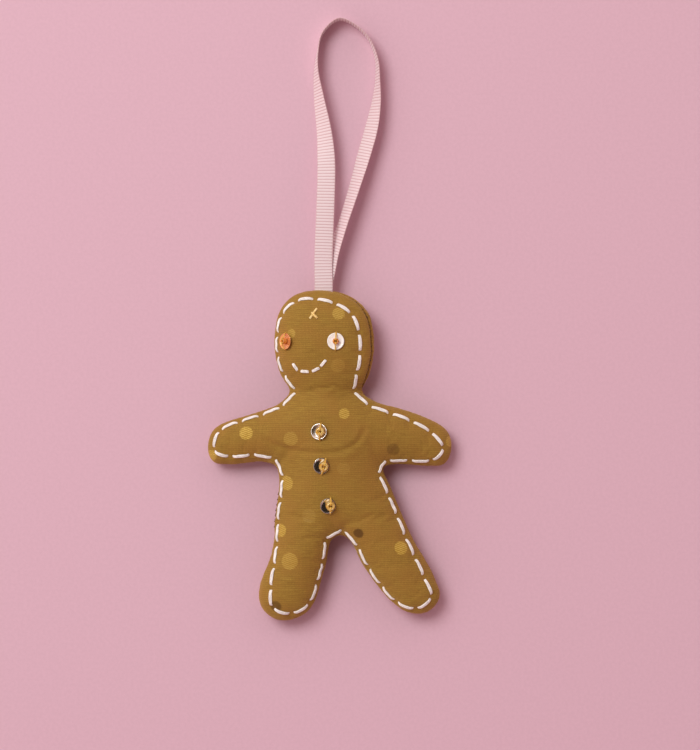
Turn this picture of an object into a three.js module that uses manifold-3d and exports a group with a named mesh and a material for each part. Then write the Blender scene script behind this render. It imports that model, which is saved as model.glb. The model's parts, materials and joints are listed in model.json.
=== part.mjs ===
// Padded fabric gingerbread man with a hanging ribbon, lying on its back.
// Millimetres, +Z up out of the front, +Y towards the head and the ribbon.
// Left and right are as seen from the front: left is -X.
// The origin is under the middle of the figure, on the surface that it lies on.
import * as THREE from 'three';
import { mergeGeometries, mergeVertices } from 'three/addons/utils/BufferGeometryUtils.js';
import Module from 'manifold-3d';

const wasm = await Module();
wasm.setup();

// Clearance between pieces that touch, and round a thread in its needle hole
const GAP = 0.3;
const NEEDLE_CLEARANCE = 0.25;

// Cloth
const CLOTH = 0.5;
const SEAM_ALLOWANCE = 2.5;
const FRONT_SHARE = 0.55;
const FLAT_DEPTH = 0.5;

// Head, which is turned and rolled a little to the left, so that its seam is higher on the right
const HEAD_WIDTH = 35.2;
const HEAD_HEIGHT = 36.2;
const HEAD_PADDING = 17;
const HEAD_X = -2;
const HEAD_Y = 40;
const HEAD_TURN = 2;
const HEAD_RIDGE_SHIFT = 0.5;
const RIGHT_SEAM_LIFT = 4;
const LEFT_SEAM_DROP = 1.5;
const HEAD_SQUARENESS = 2.5;
const JAW_ANGLE = 35;

// Neck and trunk
const NECK_WIDTH = 25.8;
const NECK_Y = 22.5;
const NECK_PADDING = 13.5;
const SHOULDER_WIDTH = 34.8;
const SHOULDER_Y = 18.7;
const ARMPIT_WIDTH = 38.2;
const ARMPIT_Y = -4.8;
const WAIST_WIDTH = 39;
const WAIST_Y = -10.5;
const HIP_WIDTH = 44.6;
const HIP_Y = -21;
const CROTCH_Y = -28.7;
const CROTCH_SHIFT = 1.2;
const TRUNK_PADDING = 16;
const HIP_PADDING = 15;
const TRUNK_LEAN = 3;
const WAIST_LEAN = TRUNK_LEAN / 3;

// Half the spread of the padding's ridge across the chest, waist and hips, and its foot at the crotch
const CHEST_RIDGE = 2.5;
const WAIST_RIDGE = 1;
const HIP_RIDGE = 4;
const CROTCH_RIDGE_Y = -16.7;

// Arms
const ARM_WIDTH = 18.9;
const HAND_WIDTH = 15.5;
const ARM_PADDING = 13;
const HAND_PADDING = 11;
const SHOULDER_JOINT_X = 13.5;
const SHOULDER_JOINT_Y = 8.8;
const LEFT_ARM_LENGTH = 22.4;
const LEFT_ARM_ANGLE = 191.5;
const RIGHT_ARM_LENGTH = 22;
const RIGHT_ARM_ANGLE = -12.8;

// Legs
const LEG_WIDTH = 20;
const FOOT_WIDTH = 19.8;
const LEG_PADDING = 14;
const FOOT_PADDING = 12.5;
const HIP_JOINT_X = 11.3;
const HIP_JOINT_Y = -23.7;
const LEGS_SHIFT = 0.8;
const LEFT_LEG_LENGTH = 25.2;
const LEFT_LEG_ANGLE = 252.8;
const RIGHT_LEG_LENGTH = 25.9;
const RIGHT_LEG_ANGLE = -60;

// White running stitch round the front, from corner to corner, and how far it keeps from the seam
const STITCH_PITCH = 7.45;
const STITCH_BRIDGE = 2;
const FLOSS_WIDTH = 1.2;
const FLOSS_THICKNESS = 0.7;
const FACE_INSET = 2.8;
const FACE_TURN_ANGLE = 20;
const LEFT_ARM_INSETS = { out: 0.9, tip: 2.1, back: 2.5 };
const RIGHT_ARM_INSETS = { out: 0.9, tip: 3.3, back: 2.6 };
const LEFT_LEG_INSETS = { out: 2.1, tip: 3.5, back: 1 };
const RIGHT_LEG_INSETS = { out: 1, tip: 2.9, back: 2.5 };
const LEFT_INSETS = { neck: 1.7, shoulder: 1.7, armpit: 1.7, side: 0.9 };
const RIGHT_INSETS = { neck: 2.8, shoulder: 2.7, armpit: 2.7, side: 2.2 };
const CROTCH_INSET = 2.6;

// Smile and forehead cross, placed from the middle of the head
const SMILE_X = -5;
const SMILE_Y = -3;
const SMILE_RADIUS = 7.8;
const SMILE_FROM = 219;
const SMILE_TO = 328;
const SMILE_STITCHES = 4;
const SMILE_BRIDGE = 1.3;
const CROSS_X = -3.4;
const CROSS_Y = 9.3;
const CROSS_SIZE = 3.2;
const FINE_FLOSS_WIDTH = 0.9;
const FINE_FLOSS_THICKNESS = 0.5;

// Sequins with a bead and a thread: eyes from the middle of the head, buttons down the trunk
const SEQUIN_DIAMETER = 6;
const SEQUIN_HOLE = 1.2;
const SEQUIN_THICKNESS = 0.25;
const SEQUIN_CUP = 0.45;
const BEAD_DIAMETER = 2.7;
const BEAD_LENGTH = 1.8;
const BEAD_THREAD = 0.4;
const LEFT_EYE_X = -13.2;
const RIGHT_EYE_X = 4.2;
const EYE_Y = -0.3;
const TOP_BUTTON_Y = 8.3;
const MIDDLE_BUTTON_Y = -3.5;
const BOTTOM_BUTTON_Y = -17.4;
const TOP_BUTTON_X = -3.5;
const MIDDLE_BUTTON_X = -2.8;
const BOTTOM_BUTTON_X = -0.5;

// Grosgrain ribbon
const RIBBON_WIDTH = 6.4;
const RIBBON_THICKNESS = 0.4;
const RIBBON_TAIL = 3.2;
const RIBBON_STEPS = 54;

// Colours
const KHAKI = 0x916c2d;
const WHITE = 0xf0ebe6;
const GOLD = 0xebcd82;
const AMBER = 0xc8821e;
const PINK = 0xf5cdc8;
const POLYESTER = 0xf4f2ec;
const SILVER = 0xb9b2a8;
const PEARL = 0xf3efe6;
const COPPER = 0xc06a2c;

const UP = new THREE.Vector3(0, 0, 1);
const turn = (degrees) => THREE.MathUtils.degToRad(degrees);

// Solid handling

const MERGE_DISTANCE = 1e-5;

function solidOf(geometry) {
  const bare = geometry.clone();
  bare.deleteAttribute('normal');
  bare.deleteAttribute('uv');
  const merged = mergeVertices(bare, MERGE_DISTANCE);
  return new wasm.Manifold(new wasm.Mesh({
    numProp: 3,
    vertProperties: new Float32Array(merged.attributes.position.array),
    triVerts: new Uint32Array(merged.index.array),
  }));
}

function geometryOf(solid) {
  const mesh = solid.getMesh();
  const geometry = new THREE.BufferGeometry();
  geometry.setAttribute('position', new THREE.BufferAttribute(mesh.vertProperties, 3));
  geometry.setIndex(new THREE.BufferAttribute(mesh.triVerts, 1));
  return geometry;
}

function merged(geometries) {
  const bare = geometries.map((geometry) => {
    const copy = geometry.index ? geometry.toNonIndexed() : geometry.clone();
    copy.deleteAttribute('normal');
    copy.deleteAttribute('uv');
    return copy;
  });
  return mergeGeometries(bare);
}

// Skin over a stack of loops with equal point counts, closed at both ends
function loft(loops, capFaces) {
  const count = loops[0].length;
  const index = [];
  for (let k = 0; k + 1 < loops.length; k += 1) {
    for (let i = 0; i < count; i += 1) {
      const a = k * count + i;
      const b = k * count + ((i + 1) % count);
      index.push(a, b, a + count, b, b + count, a + count);
    }
  }
  const last = (loops.length - 1) * count;
  for (const [a, b, c] of capFaces(loops[0])) index.push(c, b, a);
  for (const [a, b, c] of capFaces(loops.at(-1))) index.push(last + a, last + b, last + c);
  const points = loops.flat();
  let volume = 0;
  for (let i = 0; i < index.length; i += 3) {
    const [a, b, c] = [points[index[i]], points[index[i + 1]], points[index[i + 2]]];
    volume += a.dot(b.clone().cross(c));
  }
  if (volume < 0) index.reverse();
  const geometry = new THREE.BufferGeometry().setFromPoints(points);
  geometry.setIndex(index);
  return geometry;
}

const fanFaces = (loop) => loop.slice(2).map((point, i) => [0, i + 1, i + 2]);

// Triangles over a loop seen from above, cutting the corner with the shortest new edge each time
function planFaces(loop) {
  const side = (a, b, c) => (b.x - a.x) * (c.y - a.y) - (b.y - a.y) * (c.x - a.x);
  const left = loop.map((point, i) => i);
  const faces = [];
  const corner = (i) => [left.at(i - 1), left[i], left[(i + 1) % left.length]];
  const isClear = ([a, b, c]) => {
    const [p, q, r] = [loop[a], loop[b], loop[c]];
    if (side(p, q, r) < 0) return false;
    return left.every((i) => {
      if (i === a || i === b || i === c) return true;
      return side(p, q, loop[i]) < 0 || side(q, r, loop[i]) < 0 || side(r, p, loop[i]) < 0;
    });
  };
  while (left.length > 3) {
    let best = -1;
    let shortest = Infinity;
    for (let i = 0; i < left.length; i += 1) {
      const [a, b, c] = corner(i);
      const length = Math.hypot(loop[a].x - loop[c].x, loop[a].y - loop[c].y);
      if (length < shortest && isClear([a, b, c])) {
        best = i;
        shortest = length;
      }
    }
    faces.push(corner(best));
    left.splice(best, 1);
  }
  faces.push([...left]);
  return faces;
}

// Pattern of the figure: points on the seam, each with the point of the padding's ridge that it
// belongs to (x, y and the padding's thickness there), the running stitch's distance from the seam,
// and how far the seam is lifted

const keys = [];

function key(x, y, ridge, inset, lift = 0) {
  keys.push({ rim: new THREE.Vector3(x, y, 0), ridge, inset, lift });
}

const ridgePoint = (x, y, padding) => new THREE.Vector3(x, y, padding);

function limbOf(rootX, rootY, length, angle, width, tipWidth, padding, tipPadding) {
  const along = new THREE.Vector3(Math.cos(turn(angle)), Math.sin(turn(angle)), 0);
  const across = new THREE.Vector3(-along.y, along.x, 0);
  const root = new THREE.Vector3(rootX, rootY, 0);
  const tip = root.clone().addScaledVector(along, length);
  const middle = root.clone().lerp(tip, 0.5);
  middle.z = padding;
  tip.z = tipPadding;
  return { root, along, across, tip, middle, width, tipWidth };
}

const leftArm = limbOf(
  -SHOULDER_JOINT_X, SHOULDER_JOINT_Y, LEFT_ARM_LENGTH, LEFT_ARM_ANGLE,
  ARM_WIDTH, HAND_WIDTH, ARM_PADDING, HAND_PADDING,
);
const rightArm = limbOf(
  SHOULDER_JOINT_X, SHOULDER_JOINT_Y, RIGHT_ARM_LENGTH, RIGHT_ARM_ANGLE,
  ARM_WIDTH, HAND_WIDTH, ARM_PADDING, HAND_PADDING,
);
const leftLeg = limbOf(
  TRUNK_LEAN + LEGS_SHIFT - HIP_JOINT_X, HIP_JOINT_Y, LEFT_LEG_LENGTH, LEFT_LEG_ANGLE,
  LEG_WIDTH, FOOT_WIDTH, LEG_PADDING, FOOT_PADDING,
);
const rightLeg = limbOf(
  TRUNK_LEAN + LEGS_SHIFT + HIP_JOINT_X, HIP_JOINT_Y, RIGHT_LEG_LENGTH, RIGHT_LEG_ANGLE,
  LEG_WIDTH, FOOT_WIDTH, LEG_PADDING, FOOT_PADDING,
);

// Out along one side of a limb, round its tip and back
const TIP_ANGLES = [-78, -40, 0, 40, 78];

function limbKeys(limb, insets) {
  const side = (sign, inset) => {
    const rim = limb.middle.clone().addScaledVector(limb.across, sign * limb.width / 2);
    key(rim.x, rim.y, limb.middle, inset);
  };
  side(-1, insets.out);
  for (const angle of TIP_ANGLES) {
    const out = Math.cos(turn(angle)) * limb.tipWidth / 2;
    const aside = Math.sin(turn(angle)) * limb.tipWidth / 2;
    const rim = limb.tip.clone().addScaledVector(limb.along, out).addScaledVector(limb.across, aside);
    key(rim.x, rim.y, limb.tip, insets.tip);
  }
  side(1, insets.back);
}

const headRidge = ridgePoint(HEAD_X + HEAD_RIDGE_SHIFT, HEAD_Y, HEAD_PADDING);
const neckRidge = ridgePoint(HEAD_X / 2, NECK_Y, NECK_PADDING);
const chestRidge = (side) => ridgePoint(side * CHEST_RIDGE, SHOULDER_JOINT_Y, TRUNK_PADDING);
const waistRidge = (side) => ridgePoint(WAIST_LEAN + side * WAIST_RIDGE, WAIST_Y, TRUNK_PADDING);
const hipRidge = (side) => ridgePoint(TRUNK_LEAN + side * HIP_RIDGE, HIP_Y, HIP_PADDING);
const crotchRidge = ridgePoint(TRUNK_LEAN, CROTCH_RIDGE_Y, HIP_PADDING);

const HEAD_KEYS = 9;
const CROWN_KEY = (HEAD_KEYS - 1) / 2;
const rounded = (value) => Math.sign(value) * Math.abs(value) ** (2 / HEAD_SQUARENESS);

for (let i = 0; i < HEAD_KEYS; i += 1) {
  const angle = THREE.MathUtils.lerp(-JAW_ANGLE, 180 + JAW_ANGLE, i / (HEAD_KEYS - 1));
  const x = HEAD_X + rounded(Math.cos(turn(angle))) * HEAD_WIDTH / 2;
  const y = HEAD_Y + rounded(Math.sin(turn(angle))) * HEAD_HEIGHT / 2;
  const inset = FACE_INSET + HEAD_TURN * Math.cos(turn(angle - FACE_TURN_ANGLE));
  const lift = Math.cos(turn(angle)) * (i < CROWN_KEY ? RIGHT_SEAM_LIFT : LEFT_SEAM_DROP);
  key(x, y, headRidge, inset, lift);
}
const leftNeckKey = keys.length;
key((HEAD_X - NECK_WIDTH) / 2, NECK_Y, neckRidge, LEFT_INSETS.neck);
key((HEAD_X - SHOULDER_WIDTH) / 2, SHOULDER_Y, chestRidge(-1), LEFT_INSETS.shoulder);
limbKeys(leftArm, LEFT_ARM_INSETS);
key(-ARMPIT_WIDTH / 2, ARMPIT_Y, chestRidge(-1), LEFT_INSETS.armpit);
key((TRUNK_LEAN - WAIST_WIDTH) / 2, WAIST_Y, waistRidge(-1), LEFT_INSETS.side);
key(TRUNK_LEAN - HIP_WIDTH / 2, HIP_Y, hipRidge(-1), LEFT_INSETS.side);
limbKeys(leftLeg, LEFT_LEG_INSETS);
const crotchKey = keys.length;
key(TRUNK_LEAN + CROTCH_SHIFT, CROTCH_Y, crotchRidge, CROTCH_INSET);
limbKeys(rightLeg, RIGHT_LEG_INSETS);
key(TRUNK_LEAN + HIP_WIDTH / 2, HIP_Y, hipRidge(1), RIGHT_INSETS.side);
key((TRUNK_LEAN + WAIST_WIDTH) / 2, WAIST_Y, waistRidge(1), RIGHT_INSETS.side);
key(ARMPIT_WIDTH / 2, ARMPIT_Y, chestRidge(1), RIGHT_INSETS.armpit);
limbKeys(rightArm, RIGHT_ARM_INSETS);
key((HEAD_X + SHOULDER_WIDTH) / 2, SHOULDER_Y, chestRidge(1), RIGHT_INSETS.shoulder);
const rightNeckKey = keys.length;
key((HEAD_X + NECK_WIDTH) / 2, NECK_Y, neckRidge, RIGHT_INSETS.neck);

const rimCurve = new THREE.CatmullRomCurve3(keys.map((k) => k.rim), true, 'centripetal');

// Value between the two keys that a share of the way round lies between
function betweenKeys(share, valueOf) {
  const place = THREE.MathUtils.euclideanModulo(share, 1) * keys.length;
  const before = Math.floor(place) % keys.length;
  const after = (before + 1) % keys.length;
  return valueOf(keys[before], keys[after], place - Math.floor(place));
}

// One rib of the form: from the seam at the rim up to the ridge, in front and behind
function ribAt(share) {
  const rim = rimCurve.getPoint(share);
  const ridge = betweenKeys(share, (a, b, part) => a.ridge.clone().lerp(b.ridge, part));
  const padding = ridge.z;
  ridge.z = 0;
  const out = rim.clone().sub(ridge);
  const length = out.length();
  out.divideScalar(length);
  const lift = betweenKeys(share, (a, b, part) => THREE.MathUtils.lerp(a.lift, b.lift, part));
  const front = padding * FRONT_SHARE - lift;
  const back = padding - front;
  return {
    ridge, out, length, front, back,
    inset: betweenKeys(share, (a, b, part) => THREE.MathUtils.lerp(a.inset, b.inset, part)),
    backSeam: back - FLAT_DEPTH,
    seam: back - FLAT_DEPTH + GAP / 2,
    frontSeam: back - FLAT_DEPTH + GAP,
  };
}

const planPoint = (rib, reach, z) => rib.ridge.clone().addScaledVector(rib.out, reach).setZ(z);

// Cloth panels, each one cut piece with its seam allowance turned in

const RIBS_PER_KEY = 2;
const RISE_ANGLES = [23, 47, 71, 83];
const ribs = () => {
  const count = keys.length * RIBS_PER_KEY;
  return Array.from({ length: count }, (unused, i) => ribAt(i / count));
};

function panelGeometry(seamOf, heightOf, floorOf) {
  const all = ribs();
  const outer = (angle) => all.map((rib) => {
    const z = seamOf(rib) + heightOf(rib) * Math.sin(turn(angle));
    return planPoint(rib, rib.length * Math.cos(turn(angle)), floorOf(z, 0));
  });
  const inner = (angle) => all.map((rib) => {
    const height = heightOf(rib) - Math.sign(heightOf(rib)) * CLOTH;
    const z = seamOf(rib) + height * Math.sin(turn(angle));
    return planPoint(rib, (rib.length - CLOTH) * Math.cos(turn(angle)), floorOf(z, CLOTH));
  });
  const innerFoot = all.map((rib) => {
    const lift = Math.sign(heightOf(rib)) * CLOTH;
    const slope = Math.asin(CLOTH / (Math.abs(heightOf(rib)) - CLOTH));
    return planPoint(rib, (rib.length - CLOTH) * Math.cos(slope), seamOf(rib) + lift);
  });
  const turnedIn = (lift) => all.map((rib) => {
    const z = seamOf(rib) + Math.sign(heightOf(rib)) * lift;
    return planPoint(rib, rib.length - SEAM_ALLOWANCE, z);
  });
  const inside = RISE_ANGLES.toReversed().map(inner);
  const outside = [0, ...RISE_ANGLES].map(outer);
  return loft([...inside, innerFoot, turnedIn(CLOTH), turnedIn(0), ...outside], planFaces);
}

const frontForm = panelGeometry((rib) => rib.frontSeam, (rib) => rib.front, (z) => z);
const backForm = panelGeometry((rib) => rib.backSeam, (rib) => -rib.back, (z, least) => Math.max(z, least));

// Points on the front cloth, with the cloth's outward direction

const frontSkin = new THREE.Mesh(frontForm, new THREE.MeshBasicMaterial());
const downRay = new THREE.Raycaster();
const RAY_HEIGHT = 100;

function onFront(x, y) {
  downRay.set(new THREE.Vector3(x, y, RAY_HEIGHT), UP.clone().negate());
  const [hit] = downRay.intersectObject(frontSkin);
  return { point: hit.point, normal: hit.face.normal.clone() };
}

function onStitchLine(share) {
  const rib = ribAt(share);
  const flat = 1 - rib.inset / rib.length;
  const rise = Math.sqrt(1 - flat * flat);
  const point = planPoint(rib, rib.length * flat, rib.frontSeam + rib.front * rise);
  const normal = rib.out.clone().multiplyScalar(rib.front * flat).addScaledVector(UP, rib.length * rise);
  return { point, normal: normal.normalize() };
}

// Thread sewn through the front cloth: it comes up at one needle hole, lies over the cloth, goes
// down at the next and runs on inside. Holes and resting points are places on the cloth.

const THREAD_SIDES = 5;

function threadRing(before, point, after, normal, width, thickness) {
  const tangent = after.clone().sub(before).normalize();
  const across = normal.clone().cross(tangent).normalize();
  const lift = tangent.clone().cross(across);
  return Array.from({ length: THREAD_SIDES }, (unused, i) => {
    const angle = (2 * Math.PI * i) / THREAD_SIDES + Math.PI / 2;
    return point.clone()
      .addScaledVector(across, Math.cos(angle) * width / 2)
      .addScaledVector(lift, Math.sin(angle) * thickness / 2);
  });
}

function needlework(stitches, width, thickness, lean) {
  const above = GAP + thickness / 2;
  const below = -(CLOTH + GAP + thickness / 2);
  const path = [];
  const holes = [];
  const place = (spot, height, towards, shift, breadth) => {
    const point = spot.point.clone().addScaledVector(spot.normal, height).addScaledVector(towards, shift);
    path.push({ point, normal: spot.normal, breadth });
  };
  const pierce = (spot, towards, rising) => {
    place(spot, rising ? below : above, towards, -lean, thickness);
    place(spot, rising ? above : below, towards, lean, thickness);
    const axis = spot.normal.clone().multiplyScalar(above - below);
    axis.addScaledVector(towards, (rising ? 2 : -2) * lean).normalize();
    const across = spot.normal.clone().cross(towards).normalize();
    const basis = new THREE.Matrix4().makeBasis(axis.clone().cross(across), across, axis.clone().negate());
    const opening = thickness + 2 * NEEDLE_CLEARANCE;
    const hole = new THREE.BoxGeometry(opening, opening, above - below + 2 * NEEDLE_CLEARANCE);
    const middle = spot.point.clone().addScaledVector(spot.normal, (above + below) / 2);
    holes.push(hole.applyMatrix4(basis.setPosition(middle)));
  };
  for (const { up, over, down } of stitches) {
    const first = over[0].point.clone().sub(up.point).normalize();
    const last = down.point.clone().sub(over.at(-1).point).normalize();
    pierce(up, first, true);
    for (const spot of over) place(spot, above + (spot.raised ?? 0), first, 0, width);
    pierce(down, last, false);
  }
  const ringsOf = (extra) => path.map(({ point, normal, breadth }, i) => {
    const before = path[Math.max(i - 1, 0)].point;
    const after = path[Math.min(i + 1, path.length - 1)].point;
    return threadRing(before, point, after, normal, breadth + extra, thickness + extra);
  });
  return {
    geometry: loft(ringsOf(0), fanFaces),
    room: loft(ringsOf(2 * NEEDLE_CLEARANCE), fanFaces),
    holes: merged(holes),
  };
}

// Running stitch: even stitches from corner to corner of the line, worked out by its length.
// A stitch ends at both sides of the neck and at the crotch.

const STEPS_PER_KEY = 40;

function runningStitch() {
  const samples = keys.length * STEPS_PER_KEY;
  const lengths = [0];
  let previous = onStitchLine(0).point;
  for (let i = 1; i <= samples; i += 1) {
    const next = onStitchLine(i / samples).point;
    lengths.push(lengths[i - 1] + next.distanceTo(previous));
    previous = next;
  }
  const total = lengths[samples];
  const at = (distance) => {
    const wanted = THREE.MathUtils.euclideanModulo(distance, total);
    const i = lengths.findIndex((length) => length > wanted);
    const part = (wanted - lengths[i - 1]) / (lengths[i] - lengths[i - 1]);
    return onStitchLine((i - 1 + part) / samples);
  };
  const corners = [rightNeckKey, leftNeckKey, crotchKey].map((place) => lengths[place * STEPS_PER_KEY]);
  const stitches = corners.flatMap((start, corner) => {
    const end = corners[(corner + 1) % corners.length];
    const span = THREE.MathUtils.euclideanModulo(end - start, total);
    const count = Math.round(span / STITCH_PITCH);
    const pitch = span / count;
    return Array.from({ length: count }, (unused, i) => ({
      up: at(start + i * pitch + STITCH_BRIDGE / 2),
      over: [at(start + (i + 0.5) * pitch)],
      down: at(start + (i + 1) * pitch - STITCH_BRIDGE / 2),
    }));
  });
  return needlework(stitches, FLOSS_WIDTH, FLOSS_THICKNESS, GAP);
}

function smileStitch() {
  const span = turn(SMILE_TO - SMILE_FROM);
  const margin = SMILE_BRIDGE / 2 / SMILE_RADIUS;
  const at = (angle) => onFront(
    HEAD_X + SMILE_X + SMILE_RADIUS * Math.cos(angle),
    HEAD_Y + SMILE_Y + SMILE_RADIUS * Math.sin(angle),
  );
  const stitches = Array.from({ length: SMILE_STITCHES }, (unused, i) => {
    const from = turn(SMILE_FROM) + (span * i) / SMILE_STITCHES;
    const to = turn(SMILE_FROM) + (span * (i + 1)) / SMILE_STITCHES;
    return { up: at(from + margin), over: [at((from + to) / 2)], down: at(to - margin) };
  });
  return needlework(stitches, FINE_FLOSS_WIDTH, FINE_FLOSS_THICKNESS, GAP / 2);
}

function crossStitch() {
  const reach = CROSS_SIZE / 2;
  const at = (x, y) => onFront(HEAD_X + CROSS_X + x * reach, HEAD_Y + CROSS_Y + y * reach);
  const over = at(0, 0);
  over.raised = FINE_FLOSS_THICKNESS + GAP;
  return needlework([
    { up: at(-1, -1), over: [at(0, 0)], down: at(1, 1) },
    { up: at(1, -1), over: [over], down: at(-1, 1) },
  ], FINE_FLOSS_WIDTH, FINE_FLOSS_THICKNESS, GAP / 2);
}

// A cupped sequin held by a bead that stands on it, with a thread that comes up through both of
// their holes and goes over the bead and the sequin's rim to each side

const ROUND_SIDES = 16;
const BEAD_SIDES = 10;

function sequinGeometry() {
  const rim = SEQUIN_DIAMETER / 2;
  const hole = SEQUIN_HOLE / 2;
  const profile = [
    new THREE.Vector2(hole, 0),
    new THREE.Vector2(rim, SEQUIN_CUP),
    new THREE.Vector2(rim, SEQUIN_CUP + SEQUIN_THICKNESS),
    new THREE.Vector2(hole, SEQUIN_THICKNESS),
    new THREE.Vector2(hole, 0),
  ];
  return new THREE.LatheGeometry(profile, ROUND_SIDES).rotateX(Math.PI / 2).translate(0, 0, GAP);
}

const BEAD_HEIGHT = 2 * GAP + SEQUIN_THICKNESS + BEAD_LENGTH / 2;
const BEAD_DISH = 0.25;

function beadGeometry() {
  const bore = BEAD_THREAD / 2 + GAP;
  const rim = BEAD_DIAMETER / 2;
  const end = BEAD_LENGTH / 2;
  const shoulder = (bore + rim) / 2;
  const dish = end * (1 - BEAD_DISH);
  const profile = [
    new THREE.Vector2(bore, -dish),
    new THREE.Vector2(shoulder, -end),
    new THREE.Vector2(rim, -end / 2),
    new THREE.Vector2(rim, end / 2),
    new THREE.Vector2(shoulder, end),
    new THREE.Vector2(bore, dish),
    new THREE.Vector2(bore, -dish),
  ];
  return new THREE.LatheGeometry(profile, BEAD_SIDES).rotateX(Math.PI / 2).translate(0, 0, BEAD_HEIGHT);
}

const THREAD_REACH = SEQUIN_DIAMETER / 2 + GAP + BEAD_THREAD / 2;
const THREAD_DEPTH = CLOTH + 2 * GAP + BEAD_THREAD;
const BEAD_THREAD_STEPS = 18;

function beadThreadGeometry(radius) {
  const rimHeight = GAP + SEQUIN_CUP + SEQUIN_THICKNESS;
  const top = BEAD_HEIGHT + BEAD_LENGTH / 2 + GAP + BEAD_THREAD / 2;
  const half = [
    new THREE.Vector3(THREAD_REACH, 0, -THREAD_DEPTH),
    new THREE.Vector3(THREAD_REACH, 0, rimHeight - GAP),
    new THREE.Vector3(SEQUIN_DIAMETER / 2 - BEAD_THREAD, 0, rimHeight + GAP + BEAD_THREAD),
    new THREE.Vector3(BEAD_DIAMETER / 2 + GAP + BEAD_THREAD, 0, BEAD_HEIGHT + BEAD_LENGTH / 4),
    new THREE.Vector3(BEAD_DIAMETER / 4 + GAP, 0, top),
  ];
  const mirrored = half.toReversed().map((p) => new THREE.Vector3(-p.x, 0, p.z));
  const path = new THREE.CatmullRomCurve3([...half, ...mirrored], false, 'centripetal');
  const section = new THREE.Shape();
  for (let i = 0; i < THREAD_SIDES; i += 1) {
    const angle = (2 * Math.PI * i) / THREAD_SIDES;
    section[i ? 'lineTo' : 'moveTo'](radius * Math.cos(angle), radius * Math.sin(angle));
  }
  const options = { steps: BEAD_THREAD_STEPS, extrudePath: path, bevelEnabled: false };
  const arch = new THREE.ExtrudeGeometry(section, options);
  const stem = new THREE.CylinderGeometry(radius, radius, top + THREAD_DEPTH, THREAD_SIDES);
  stem.rotateX(Math.PI / 2).translate(0, 0, (top - THREAD_DEPTH) / 2);
  return geometryOf(solidOf(arch).add(solidOf(stem)));
}

function threadHoles() {
  const width = BEAD_THREAD + 2 * NEEDLE_CLEARANCE;
  const depth = 2 * THREAD_DEPTH;
  const hole = (side) => new THREE.BoxGeometry(width, width, depth).translate(side * THREAD_REACH, 0, -GAP);
  return merged([hole(-1), hole(0), hole(1)]);
}

const sequins = [
  { name: 'left_eye', x: HEAD_X + LEFT_EYE_X, y: HEAD_Y + EYE_Y, angle: 85, colour: COPPER },
  { name: 'right_eye', x: HEAD_X + RIGHT_EYE_X, y: HEAD_Y + EYE_Y, angle: 88, colour: PEARL },
  { name: 'top_button', x: TOP_BUTTON_X, y: TOP_BUTTON_Y, angle: 85, colour: SILVER },
  { name: 'middle_button', x: MIDDLE_BUTTON_X, y: MIDDLE_BUTTON_Y, angle: 75, colour: SILVER },
  { name: 'bottom_button', x: BOTTOM_BUTTON_X, y: BOTTOM_BUTTON_Y, angle: 88, colour: SILVER },
];

function sequinPlace({ x, y, angle }) {
  const { point, normal } = onFront(x, y);
  const along = new THREE.Vector3(Math.cos(turn(angle)), Math.sin(turn(angle)), 0);
  const across = normal.clone().cross(along).normalize();
  along.copy(across).cross(normal);
  return new THREE.Matrix4().makeBasis(along, across, normal).setPosition(point);
}

// Stuffing: one pad for the head, trunk and each limb, cut from the form inside the cloth

const STUFFING_ANGLES = [80, 50, 22];

function stuffingGeometry() {
  const all = ribs();
  const reach = (rib) => {
    const clear = Math.max(SEAM_ALLOWANCE + GAP, rib.inset + FLOSS_WIDTH / 2 + GAP);
    return rib.length - clear;
  };
  const loop = (angle, height, least) => all.map((rib) => {
    const z = rib.seam + height(rib) * Math.sin(turn(angle));
    return planPoint(rib, reach(rib) * Math.cos(turn(angle)), Math.max(z, least));
  });
  const front = (rib) => rib.front - CLOTH - GAP;
  const back = (rib) => -(rib.back - CLOTH);
  const floor = CLOTH + GAP;
  return loft([
    ...STUFFING_ANGLES.map((angle) => loop(angle, back, floor)),
    loop(0, front, floor),
    ...STUFFING_ANGLES.toReversed().map((angle) => loop(angle, front, floor)),
  ], planFaces);
}

// Block that holds everything beyond a plane across a limb, as far to each side as it is told
const BLOCK = 60;
const ARM_SIDE = 0.85 * ARM_WIDTH;
const LEG_OUTSIDE = 0.65 * LEG_WIDTH;
const LEG_INSIDE = HIP_JOINT_X;

function limbBlock(limb, start, before, after) {
  const basis = new THREE.Matrix4().makeBasis(limb.along, limb.across, UP);
  const middle = limb.root.clone().addScaledVector(limb.along, BLOCK / 2 + start);
  basis.setPosition(middle.addScaledVector(limb.across, (after - before) / 2));
  return solidOf(new THREE.BoxGeometry(BLOCK, before + after, BLOCK).applyMatrix4(basis));
}

const headBlock = (start) => (
  solidOf(new THREE.BoxGeometry(BLOCK, BLOCK, BLOCK).translate(HEAD_X, NECK_Y + BLOCK / 2 + start, 0))
);

// Ribbon: two tails sewn into the seam at the crown and the free loop, which swings there

const crownRib = ribAt(CROWN_KEY / keys.length);
const crown = planPoint(crownRib, crownRib.length, crownRib.seam);
const strandOffset = (RIBBON_THICKNESS + GAP) / 2;
const knuckleRadius = strandOffset + RIBBON_THICKNESS / 2;
const hinge = crown.clone();
hinge.y += 3 * GAP + knuckleRadius;

function tailGeometry(side) {
  const tail = new THREE.BoxGeometry(RIBBON_WIDTH, RIBBON_TAIL + GAP, RIBBON_THICKNESS);
  return tail.translate(crown.x, crown.y + (GAP - RIBBON_TAIL) / 2, crown.z + side * strandOffset);
}

function ribbonSlot() {
  const height = 2 * (knuckleRadius + GAP);
  const slot = new THREE.BoxGeometry(RIBBON_WIDTH + 2 * GAP, 2 * (RIBBON_TAIL + GAP), height);
  return slot.translate(crown.x, crown.y, crown.z);
}

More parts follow.
